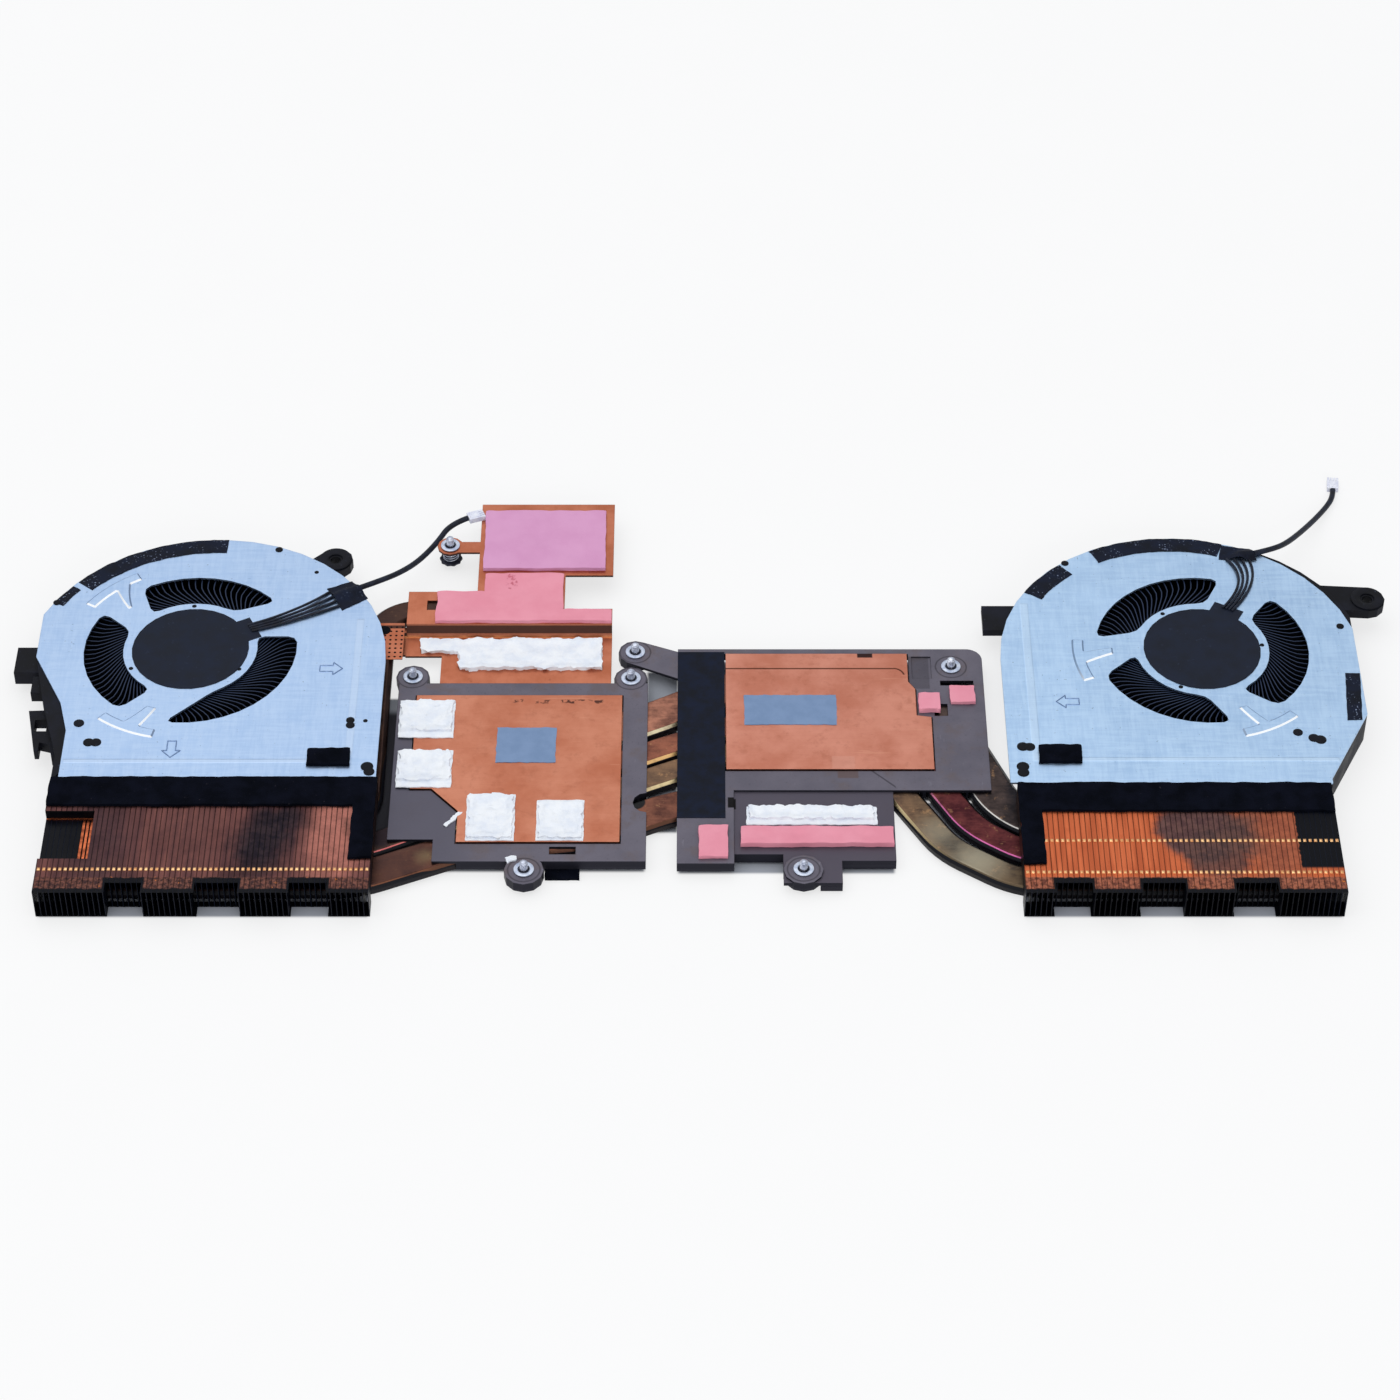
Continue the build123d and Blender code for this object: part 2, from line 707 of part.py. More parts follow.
def regulator_plate():
    """The raised copper deck, its riser, the lower shelf and the arm for its screw."""
    neck_left = gpu_left + 18.8
    deck_right = gpu_right - 9.5
    deck_left = gpu_left + 0.9
    shelf_left = gpu_left + 10.3
    deck = rectangle(deck_left, deck_right, deck_front, deck_front + 5.8)
    deck += rectangle(deck_left, neck_left + 22.9, deck_front, deck_front + 12.4)
    deck += rectangle(neck_left, neck_left + 22.9, deck_front, deck_front + 18.8)
    deck += rectangle(neck_left, deck_right, deck_front + 18.8, deck_back)
    deck -= rectangle(deck_left + 5.0, deck_left + 8.3, deck_front + 5.4, deck_front + 9.0)
    x, y, radius = regulator_screw
    deck += Pos(x, y) * disc(radius)
    deck += rectangle(x, neck_left, y - 2.6, y + 1.6)
    plate = prism(deck, deck_bottom, deck_top)
    shelf_bottom = regulator_shelf_top - regulator_sheet
    shelf = rectangle(shelf_left, deck_right, shelf_front, shelf_back)
    shelf += rectangle(deck_left, shelf_left, shelf_back - 7.8, shelf_back)
    shelf += rectangle(deck_left - 6.6, deck_left, shelf_back - 7.4, shelf_back + 3.2)
    shelf -= Pos(deck_left - 4.4, shelf_back - 0.6) * disc(1.8)
    plate += prism(shelf, shelf_bottom, regulator_shelf_top)
    riser = polygon([
        (shelf_back - regulator_sheet, shelf_bottom), (shelf_back, shelf_bottom),
        (deck_front + regulator_sheet, deck_bottom), (deck_front + regulator_sheet, deck_top),
        (deck_front, deck_top), (shelf_back - regulator_sheet, regulator_shelf_top),
    ])
    side = Plane((deck_left, 0, 0), x_dir=(0, 1, 0), z_dir=(1, 0, 0))
    plate += extrude(side * riser, amount=deck_right - deck_left, dir=(1, 0, 0))
    return plate - screw_hole(x, y)


# Captive screws and springs


def captive_screw(x, y, head_bottom, seat):
    """A screw with its head below and its retaining washer above the seat that it slides in."""
    tip = seat + washer_lift + washer_sheet + screw_reach
    screw = prism(disc(screw_head_radius, fastener_sides), head_bottom, head_bottom + screw_head)
    screw += prism(disc(screw_radius, shank_sides), head_bottom + screw_head, tip)
    washer_face = disc(washer_radius, fastener_sides) - disc(screw_radius, shank_sides)
    washer = prism(washer_face, seat + washer_lift, seat + washer_lift + washer_sheet)
    return [Pos(x, y, 0) * screw, Pos(x, y, 0) * washer]


def coil_spring(x, y, head_bottom, seat_bottom):
    """A coil of straight lengths between the head of a screw and the underside of its seat."""
    bottom = head_bottom + screw_head + spring_end_gap + spring_wire / 2
    top = seat_bottom - spring_end_gap - spring_wire / 2
    steps = spring_turns * spring_sides
    points = []
    for number in range(steps + 1):
        across, along_y = polar(spring_radius, 360 * number / spring_sides)
        points.append((x + across, y + along_y, bottom + (top - bottom) * number / steps))
    path = Polyline(*points)
    section = Plane(path @ 0, x_dir=(1, 0, 0), z_dir=path % 0) * disc(spring_wire / 2, 3)
    return sweep(section, path=path, transition=Transition.RIGHT)


# Tapes, foam and pads


def rim_tape(fan, width, start, end):
    """A strip of tape along the round back edge of a fan's plate."""
    centre = (*plate_centre(fan), 0)
    outer = CenterArc(centre, fan.plate_radius, start, end - start)
    inner = CenterArc(centre, fan.plate_radius - width, start, end - start)
    face = make_face([outer, inner, Line(outer @ 0, inner @ 0), Line(outer @ 1, inner @ 1)])
    return on_fan(fan, prism(face, fan_height, fan_height + tape_sheet))


def side_tape(fan, u0, u1, v0, v1):
    """A strip of tape on the outer side of a fan's plate."""
    face = plate_face(fan) & rectangle(u0, u1, v0, v1)
    return on_fan(fan, prism(face, fan_height, fan_height + tape_sheet))


def cable_tape(fan, corners):
    """The folded tape that holds a fan's cable to its plate."""
    return on_fan(fan, prism(polygon(corners), fan_height, fan_height + 2 * cable_radius + cable_lift))


def wire_rod(start, end, bottom):
    """One thin straight wire lying on a plate."""
    run = Vector(*end) - Vector(*start)
    rod = Rot(0, 0, heading_of(run)) * rectangle(0, run.length, -wire_size / 2, wire_size / 2)
    return prism(Pos(*start) * rod, bottom, bottom + wire_size)


def fan_wires(fan, angle, corners):
    """Four thin leads from the flap on the label to the cable tape."""
    flap_end = Vector(*polar(flap_reach, angle))
    across = Vector(*polar(1, angle + 90))
    tape_near, tape_far = Vector(*corners[0]), Vector(*corners[3])
    rods = []
    for number in range(4):
        share = (number + 0.5) / 4
        start = flap_end + across * (share - 0.5) * flap_width * 0.7
        end = tape_far + (tape_near - tape_far) * (0.3 + 0.4 * share)
        end -= (end - start).normalized() * wire_size
        rods.append(on_fan(fan, wire_rod((start.X, start.Y), (end.X, end.Y), fan_height)))
    return rods


def cable_radii(points):
    """The largest bend that each corner of a cable's route has room for."""
    spots = [Vector(*point) for point in points]
    radii = []
    for before, here, after in zip(spots, spots[1:], spots[2:]):
        turn = (here - before).get_angle(after - here)
        shorter = min((here - before).length, (after - here).length)
        radii.append(0.45 * shorter / tan(radians(turn / 2)))
    return radii


def fan_cable(name, points):
    """A sleeved cable as straight runs joined by tangent arcs."""
    radii = cable_radii(points)
    print(name, "radii", [round(radius, 1) for radius in radii])
    path = FilletPolyline(*points, radius=radii)
    section = Plane(path @ 0, z_dir=path % 0) * disc(cable_radius, 4)
    cable = sweep(section, path=path)
    print(name, "length", round(path.length, 1))
    print(name, "volume share", round(cable.volume / path.length / section.area, 4))
    return cable


def fan_plug(points, bottom):
    """A white plug on the end of a cable."""
    run = Vector(*points[-1][:2]) - Vector(*points[-2][:2])
    middle = Vector(*points[-1][:2]) + run.normalized() * (plug_length / 2 + plug_gap)
    body = Box(plug_length, plug_width, plug_height)
    notch = Box(plug_length * 0.3, plug_width * 0.6, plug_height * 0.3)
    body -= Pos(plug_length * 0.2, 0, plug_height / 2) * notch
    return Pos(middle.X, middle.Y, bottom + plug_height / 2) * Rot(0, 0, heading_of(run)) * body


os.makedirs("parts", exist_ok=True)

left_flange = polygon([
    (-39.3, -20.2), (-30.5, -19.8), (-28.2, -37.1), (-31.7, -36.8),
    (-32.7, -32.4), (-35.3, -31.6), (-35.3, -34.6), (-36.4, -34.6),
])
left_ears = [
    screw_ear(34.8, 35.6, (27.5, 28.5)),
    prism(rectangle(-left_tab_reach, left_fan.edge + housing_wall, -6.6, 2.8), 3.0, 7.0),
    prism(rectangle(-39.6, -36.6, -14.1, -8.0), 4.0, 7.0),
    prism(left_flange - rectangle(-37.2, -34.1, -27.6, -23.5), 3.5, 6.5),
]
right_ears = [
    screw_ear(-right_ear_offset, 20.2, (-33.0, 21.0)),
    prism(rectangle(39.0, 55.6, 9.4, 18.7), 5.0, 7.0),
]
fans = [
    ("left", left_fan, left_ears, 27.0, [(33.5, 22.9), (39.9, 25.7), (44.4, 19.1), (38.0, 14.5)]),
    ("right", right_fan, right_ears, 118.0, [(-7.4, 34.4), (-8.6, 40.0), (-15.8, 38.0), (-17.5, 33.6)]),
]
labels = []
tapes = []
for name, fan, ears, wire_angle, tape_corners in fans:
    save(f"{name}_fan_housing", fan_housing(fan, ears))
    save(f"{name}_fan_plate", fan_plate(fan))
    save(f"{name}_impeller", impeller(fan))
    for piece, shape in motor_pieces(fan).items():
        save(f"{name}_{piece}", shape)
    save(f"{name}_fan_wires", *fan_wires(fan, wire_angle, tape_corners))
    labels.append(hub_label(fan, wire_angle))
    tapes.append(cable_tape(fan, tape_corners))
save("hub_labels", *labels)
save("cable_tapes", *tapes)
save(
    "rim_tapes",
    rim_tape(left_fan, 5.0, 87, 140), rim_tape(left_fan, 2.6, 142.5, 152),
    rim_tape(right_fan, 5.0, 63, 108), rim_tape(right_fan, 5.0, 33, 51),
    side_tape(right_fan, -41.0, -34.6, -26.6, -9.1),
)

save("left_fin_stack", fin_stack(left_fan, True))
save("right_fin_stack", fin_stack(right_fan, False))
save("fin_gaskets", fin_gasket(left_fan), fin_gasket(right_fan))
for name, (path, width) in heat_pipes.items():
    save(name, flat_pipe(path, width))

save("gpu_bracket", gpu_bracket())
save("gpu_cold_plate", prism(gpu_plate_face(), web_bottom, cold_plate_top))
save("cpu_bracket", cpu_bracket())
save("cpu_cold_plate", prism(cpu_plate_face(), web_bottom, cold_plate_top))
save("regulator_plate", regulator_plate())

screw_names = ["gpu_left", "gpu_right", "gpu_front", "cpu_left", "cpu_right", "cpu_front"]
for name, (x, y, radius) in zip(screw_names, gpu_screws + cpu_screws):
    save(f"{name}_screw", *captive_screw(x, y, head_clearance, bracket_top))
    save(f"{name}_spring", coil_spring(x, y, head_clearance, web_bottom))
regulator_head = deck_top - regulator_screw_drop
save("regulator_screw", *captive_screw(*regulator_screw[:2], regulator_head, deck_top))
save("regulator_spring", coil_spring(*regulator_screw[:2], regulator_head, deck_bottom))

cable_start = fan_height + cable_lift + cable_radius
left_route = [
    (*fan_point(left_fan, 42.2, 22.4), cable_start),
    (-85.4, 38.2, 9.6), (-80.2, 43.4, 7.9), (-75.6, 50.4, 5.8), (-71.2, 59.2, 4.6), (-68.0, 64.4, 6.4),
    (-63.3, 66.2, deck_top + plug_height / 2),
]
right_route = [
    (*fan_point(right_fan, -16.8, 35.85), cable_start),
    (148.6, 50.5, 9.7), (153.2, 54.6, 8.0), (158.2, 62.0, 5.4), (163.4, 70.6, 2.6), (167.6, 77.6, 1.1),
    (169.9, 82.2, plug_height / 2), (170.2, 85.0, plug_height / 2),
]
save("left_fan_cable", fan_cable("left cable", left_route))
save("right_fan_cable", fan_cable("right cable", right_route))
save("left_fan_plug", fan_plug(left_route, deck_top))
save("right_fan_plug", fan_plug(right_route, 0))

save(
    "foam_blocks",
    on_fan(left_fan, block(32.8, 43.4, -42.9, -37.2, fan_height, fan_height + foam_height)),
    on_fan(right_fan, block(33.5, 44.3, -41.9, -35.9, fan_height, fan_height + foam_height)),
    block(gpu_left + 39.0, gpu_left + 47.5, gpu_front - 2.6, gpu_front + bracket_rim, 0, bracket_bottom),
)


def pad(x0, x1, y0, y1, bottom, height):
    """A soft block on a surface."""
    return block(x0, x1, y0, y1, bottom, bottom + height)


gpu_die = (gpu_left + 25.8, gpu_left + 40.7, gpu_front + 34.0, gpu_front + 46.5)
cpu_die = (cpu_left + 16.9, cpu_left + 40.4, gpu_front + 47.6, gpu_front + 58.4)
save("die_pads", pad(*gpu_die, cold_plate_top, die_film), pad(*cpu_die, cold_plate_top, die_film))
memory_prints = [
    (gpu_left + 0.8, gpu_left + 14.8, gpu_front + 42.8, gpu_front + 56.2),
    (gpu_left + 1.1, gpu_left + 14.9, gpu_front + 25.1, gpu_front + 38.1),
    (gpu_left + 19.2, gpu_left + 31.2, gpu_front + 6.6, gpu_front + 22.3),
    (gpu_left + 36.6, gpu_left + 48.3, gpu_front + 6.6, gpu_front + 20.5),
]
save("memory_putty", *[pad(*spread, cold_plate_top, putty_height) for spread in memory_prints])
shelf_putty = rectangle(gpu_left + 14.8, gpu_right - 12.0, shelf_front + 7.8, shelf_back - 2.0)
shelf_putty += rectangle(gpu_left + 4.9, gpu_left + 14.8, shelf_back - 6.8, shelf_back - 2.0)
save(
    "regulator_putty",
    prism(shelf_putty, regulator_shelf_top, regulator_shelf_top + putty_height),
    pad(cpu_left + 17.2, cpu_left + 49.5, gpu_front + 12.9, gpu_front + 19.2, shelf_top, putty_height),
)
lilac_spread = (gpu_left + 20.0, gpu_right - 11.7, deck_front + 20.6, deck_back - 3.6)
save("lilac_pad", pad(*lilac_spread, deck_top, deck_pad))
deck_pink = rectangle(gpu_left + 8.4, gpu_right - 9.7, deck_front + 0.3, deck_front + 4.6)
deck_pink += rectangle(gpu_left + 8.4, gpu_left + 41.3, deck_front + 0.3, deck_front + 11.5)
deck_pink += rectangle(gpu_left + 20.7, gpu_left + 41.3, deck_front + 0.3, deck_front + 18.6)
save(
    "pink_pads",
    prism(deck_pink, deck_top, deck_top + deck_pad),
    pad(cpu_left + 15.8, cpu_left + 53.4, gpu_front + 5.5, gpu_front + 11.4, shelf_top, shelf_pad),
    pad(cpu_left + 5.4, cpu_left + 12.5, gpu_front + 0.9, gpu_front + 11.7, bracket_top, foam_height),
    pad(cpu_right - 17.0, cpu_right - 11.4, gpu_front + 52.4, gpu_front + 58.6, bracket_top, shelf_pad),
    pad(cpu_right - 8.8, cpu_right - 2.5, gpu_front + 55.5, gpu_front + 61.7, bracket_top, foam_height),
)
bridge = (cpu_left, cpu_left + 12.0, gpu_front + 14.9, cpu_back - 1.2)
save("bridge_tape", pad(*bridge, bracket_top, tape_sheet))
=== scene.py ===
import math

import bmesh
import bpy
from mathutils import Matrix, Vector, noise


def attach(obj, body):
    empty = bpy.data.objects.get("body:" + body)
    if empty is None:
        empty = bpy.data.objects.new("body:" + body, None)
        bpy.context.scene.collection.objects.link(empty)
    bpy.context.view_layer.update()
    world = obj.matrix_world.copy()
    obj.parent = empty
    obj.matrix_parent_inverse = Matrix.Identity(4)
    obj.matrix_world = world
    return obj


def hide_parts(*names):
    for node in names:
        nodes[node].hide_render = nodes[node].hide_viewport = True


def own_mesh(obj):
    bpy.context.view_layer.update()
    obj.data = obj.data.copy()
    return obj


# Looks of a laptop cooling assembly that lies with its motherboard side up.
# Lengths are written in millimetres of the part's own frame and turned to metres by MM.

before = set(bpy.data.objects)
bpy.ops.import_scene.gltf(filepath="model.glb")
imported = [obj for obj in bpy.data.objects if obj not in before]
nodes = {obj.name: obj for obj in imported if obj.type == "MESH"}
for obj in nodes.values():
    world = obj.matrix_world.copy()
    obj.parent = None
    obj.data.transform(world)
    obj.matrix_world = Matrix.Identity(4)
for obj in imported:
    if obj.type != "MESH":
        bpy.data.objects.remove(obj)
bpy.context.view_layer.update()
scene = bpy.context.scene
MM = 0.001
FAN_TOP = 9.2
FIN_TOP = 8.6
EAR_TOP = 8
DECK_TOP = 6.3
PLATE_TOP = 4.4
BRACKET_TOP = 4
FRONT_SHELF = 3.4
BACK_SHELF = 3.2
FIN_FRONT, FIN_RECESS, FIN_LIP = -72.6, -69.4, -67.8
LEFT_HUB = (-132.1, 12.8)
RIGHT_HUB = (127.4, 12.8)
LEFT_STEPS = [(-145.2, -136.4), (-123.5, -113), (-100.7, -91.6)]
RIGHT_STEPS = [(84.6, 93.4), (105.5, 115.9), (128.1, 138.2)]
SCREW_PLACES = {
    "gpu_left": (-75, 7.7), "gpu_right": (-19.1, 7.1), "gpu_front": (-44.4, -60.8), "cpu_left": (-18.1, 17),
    "cpu_right": (63.1, 11.5), "cpu_front": (23.9, -60.6), "regulator": (-67.5, 55.9),
}


# Camera

camera_data = bpy.data.cameras.new("camera")
camera_data.sensor_width = 36
camera_data.lens = 101.4
camera_data.clip_end = 50
camera = bpy.data.objects.new("camera", camera_data)
scene.collection.objects.link(camera)
elevation = math.radians(43.69)
reach = 1.0111
camera.location = (-0.0014, 0.0034 - reach * math.cos(elevation), reach * math.sin(elevation))
camera.rotation_euler = (math.pi / 2 - elevation, 0, 0)
scene.camera = camera
scene.view_settings.view_transform = "Standard"


# Node helpers for materials


def srgb(code):
    """A display colour such as "#c4d8f1" as a linear colour."""
    parts = []
    for k in (1, 3, 5):
        value = int(code[k:k + 2], 16) / 255
        parts.append(value / 12.92 if value <= 0.04045 else ((value + 0.055) / 1.055) ** 2.4)
    return (*parts, 1)


class Value:
    """An output of a look's node. Its arithmetic adds more nodes, and | gives the larger of two."""

    def __init__(self, look, socket):
        self.look, self.socket = look, socket

    def __add__(self, other):
        return self.look.math("ADD", self, other)

    def __sub__(self, other):
        return self.look.math("SUBTRACT", self, other)

    def __rsub__(self, other):
        return self.look.math("SUBTRACT", other, self)

    def __mul__(self, other):
        return self.look.math("MULTIPLY", self, other)

    def __or__(self, other):
        return self.look.math("MAXIMUM", self, other)

    def ramp(self, low, high, start=0, end=1):
        """The span from low to high stretched to the one from start to end."""
        inputs = {"Value": self, "From Min": low, "From Max": high, "To Min": start, "To Max": end}
        return self.look.node("MapRange", "Result", inputs, interpolation_type="SMOOTHSTEP")


class Look:
    """A procedural material with short ways to add its nodes. Masks run from 0 to 1."""

    def __init__(self, name, color, metallic=0, roughness=0.5, specular=None):
        self.material = bpy.data.materials.new(name)
        self.material.use_nodes = True
        self.tree = self.material.node_tree
        self.shader = self.tree.nodes["Principled BSDF"]
        self.set("Metallic", metallic)
        self.set("Roughness", roughness)
        if specular is not None:
            self.set("Specular IOR Level", specular)
        self.color = color
        self.place = self.node("TexCoord", "Object")

    def set(self, socket, value):
        self.plug(self.shader.inputs[socket], value)

    def plug(self, socket, value):
        if isinstance(value, Value):
            self.tree.links.new(value.socket, socket)
        else:
            socket.default_value = srgb(value) if isinstance(value, str) else value

    def node(self, kind, output, inputs=(), **settings):
        """A new node with its settings and inputs, as one of its outputs."""
        node = self.tree.nodes.new(f"ShaderNode{kind}")
        for key, value in settings.items():
            setattr(node, key, value)
        for key, value in dict(inputs).items():
            self.plug(node.inputs[key], value)
        return Value(self, node.outputs[output])

    def scaled(self, seed, stretch=(1, 1, 1)):
        """The place stretched and shifted, so that each seed has a pattern of its own."""
        shift = (seed, seed * 0.7, seed * 1.3)
        return self.node("Mapping", "Vector", {"Vector": self.place, "Scale": stretch, "Location": shift})

    def noise(self, size, detail, rough, seed, stretch=(1, 1, 1)):
        """Cloudy noise whose blobs are about size millimetres across."""
        place = self.scaled(seed, stretch)
        inputs = {"Vector": place, "Scale": 1000 / size, "Detail": detail, "Roughness": rough}
        return self.node("TexNoise", "Fac", inputs)

    def cells(self, size, seed):
        """Distance to scattered points about size millimetres apart."""
        return self.node("TexVoronoi", "Distance", {"Vector": self.scaled(seed), "Scale": 1000 / size})

    def specks(self, low, high, *grain):
        """One where a noise is over high, fading to low."""
        return self.noise(*grain).ramp(low, high)

    def math(self, operation, first, second=0):
        return self.node("Math", "Value", {0: first, 1: second}, operation=operation)

    def mix(self, share, first, second, blend="MIX"):
        inputs = {"Factor": share, 6: first, 7: second}
        return self.node("Mix", 2, inputs, data_type="RGBA", blend_type=blend)

    def tint(self, color, *shares):
        """Turn the colour so far towards another by the product of shares."""
        self.color = self.mix(math.prod(shares[1:], start=shares[0]), self.color, color)

    def axis(self, letter, source=None):
        return self.node("SeparateXYZ", letter, {"Vector": source or self.place})

    def facing(self, letter):
        """How far the surface faces along an axis."""
        return self.axis(letter, self.node("NewGeometry", "Normal"))

    def sides(self, low=0.3, high=0.7):
        """One on surfaces that don't face up."""
        return self.facing("Z").ramp(low, high, 1, 0)

    def band(self, letter, low, high, soft, wobble=None):
        """One between two places along an axis in millimetres, fading over soft."""
        value = self.axis(letter)
        if wobble is not None:
            value += wobble
        rise = value.ramp((low - soft) * MM, (low + soft) * MM)
        return rise * value.ramp((high - soft) * MM, (high + soft) * MM, 1, 0)

    def rect(self, x0, x1, y0, y1, soft_x, soft_y=None):
        """One inside an upright rectangular column."""
        return self.band("X", x0, x1, soft_x) * self.band("Y", y0, y1, soft_y or soft_x)

    def spot(self, x, y, radius, soft, wobble=None, squeeze=1):
        """One near an upright line through a point, fading over soft."""
        dx = self.axis("X") - x * MM
        dy = (self.axis("Y") - y * MM) * squeeze
        away = self.math("SQRT", dx * dx + dy * dy)
        if wobble is not None:
            away += wobble
        return away.ramp((radius - soft) * MM, (radius + soft) * MM, 1, 0)

    def ring(self, x, y, inner, outer, wobble=None):
        """One on a thin ring about an upright line."""
        return self.spot(x, y, outer, 0.12, wobble) - self.spot(x, y, inner, 0.12, wobble)

    def wobble(self, size, amount, seed):
        """A small push in metres that makes a mask's edge ragged."""
        return (self.noise(size, 4, 0.6, seed) - 0.5) * (2 * amount * MM)

    def done(self, height, depth, strength, rough=None, ease=None):
        """The finished material: its colour, a ramp for the roughness and a bump over eased edges."""
        self.set("Base Color", self.color)
        if rough:
            self.set("Roughness", rough[0].ramp(*rough[1:]))
        inputs = {"Strength": strength, "Distance": depth * MM, "Height": height}
        if ease:
            inputs["Normal"] = self.node("Bevel", "Normal", {"Radius": ease * MM}, samples=6)
        self.set("Normal", self.node("Bump", "Normal", inputs))
        return self.material


# Materials


def plain_look(name, tones, cloud, fade, grain, bump, rough, specular, marks=None, metallic=0):
    """A plain surface: two tones in clouds, marks of a third tone (colour, share, specks) and a fine grain."""
    look = Look(name, tones[0], metallic, specular=specular)
    clouds = look.noise(*cloud)
    look.tint(tones[1], clouds.ramp(*fade))
    if marks:
        color, share, *specks = marks
        look.tint(color, look.specks(*specks), share)
    depth, strength, ease = bump
    return look.done(look.noise(*grain), depth, strength, (clouds, 0.3, 0.7, *rough), ease)


def black_look(name, dark, pale, dusty, seed, specular=0.12):
    """Moulded black plastic with dust in places."""
    return plain_look(
        name, (dark, pale), (8, 4, 0.6, seed), (0.35, 0.7), (0.35, 2, 0.6, seed + 2), (0.02, 0.3, 0.2), (0.42, 0.62),
        specular, ("#606a82", dusty, 0.66, 0.76, 0.8, 3, 0.6, seed + 5),
    )


def metal_look(name, pale, dull, metallic, seed):
    """Small turned or pressed metal parts, dulled in places."""
    return plain_look(
        name, (pale, dull), (1.8, 4, 0.65, seed), (0.35, 0.7), (0.3, 2, 0.5, seed + 1), (0.015, 0.3, 0.06),
        (0.28, 0.48), 0.3, metallic=metallic,
    )


def steel_look(name, edges=False):
    """Galvanised sheet with a fine cross grain, scuffs and pressed creases painted paler as a highlight. edges
    paints a highlight on the front-facing sides of raised ribs and shade on their other sides.
    """
    look = Look(name, "#a1bbde", 1)
    cloud = look.noise(18, 4, 0.6, 3.1)
    grain = look.noise(0.9, 3, 0.7, 1.7, (0.1, 1, 1)) * 0.5 + look.noise(0.9, 3, 0.7, 2.3, (1, 0.1, 1)) * 0.5
    look.tint("#acc5e6", cloud.ramp(0.3, 0.75))
    look.tint("#c4d8f1", grain.ramp(0.36, 0.64, 0, 0.5))
    look.tint("#92a6c2", look.specks(0.63, 0.74, 2.2, 5, 0.75, 5.2), 0.22)
    look.tint("#62728c", look.specks(0.71, 0.76, 0.8, 2, 0.5, 9), 0.5)
    bends = (
        look.rect(-90, -88.2, -26, 24, 0.2, 0.3) | look.rect(-160, -88.4, -28.8, -27.6, 0.3, 0.2)
        | look.rect(81.6, 83.6, -28, 30, 0.2, 0.3) | look.rect(82, 158, -28.2, -27, 0.3, 0.2)
    )
    # Painted highlight: the pressed creases are tinted paler.
    look.tint("#cedcee", bends, 0.3)
    look.color = look.mix(look.axis("X").ramp(0, 0.06), look.color, (1.1, 1.14, 1.11, 1), "MULTIPLY")
    if edges:
        # Painted shade on the rib slopes and a painted highlight on the slopes that face the front.
        slope = look.sides(0.86, 0.95)
        front = slope * look.facing("Y").ramp(-0.35, -0.1, 1, 0)
        look.tint("#687c9e", slope, 0.55)
        look.tint("#feffff", front)
        look.set("Metallic", 1 - front)
    rough = (grain + cloud * 0.5, 0.4, 1.1, 0.36, 0.5)
    return look.done(grain * 0.2 + bends, 0.08, 0.5, rough, 0.12)


def blade_look():
    """Black plastic with a painted highlight on its upper edges."""
    look = Look("blade_plastic", "#05060a", specular=0.12)
    cloud = look.noise(6, 3, 0.6, 6)
    look.tint("#0d0f16", cloud.ramp(0.35, 0.7))
    # Painted highlight on the upward-facing edges.
    look.tint("#323e58", look.facing("Z").ramp(0.7, 0.95), 0.75)
    return look.done(look.noise(0.5, 2, 0.5, 1), 0.015, 0.3, (cloud, 0.3, 0.7, 0.34, 0.5))


def tape_look(name, seed, dusty):
    """Black cloth tape with flecks of dust."""
    look = Look(name, "#080d1a", specular=0.12)
    cloud = look.noise(4, 4, 0.6, seed)
    look.tint("#161d30", cloud.ramp(0.3, 0.7))
    fleck = look.specks(0.63, 0.69, 0.55, 2, 0.5, seed + 2)
    look.tint("#96a5c3", fleck, look.specks(0.45, 0.62, 5, 3, 0.6, seed + 3), dusty)
    weave = look.noise(0.5, 2, 0.5, seed + 1, (1, 0.4, 1))
    return look.done(weave, 0.04, 0.5, (cloud, 0.3, 0.7, 0.5, 0.75))


def foam_look():
    """Black foam with open pores and lint."""
    look = Look("black_foam", "#04060e", roughness=0.95, specular=0.05)
    look.tint("#0b0e1a", look.specks(0.3, 0.7, 5, 4, 0.6, 21))
    look.tint("#5c545c", look.specks(0.7, 0.78, 0.9, 3, 0.6, 23), 0.3)
    return look.done(look.cells(0.45, 22), 0.12, 0.7)


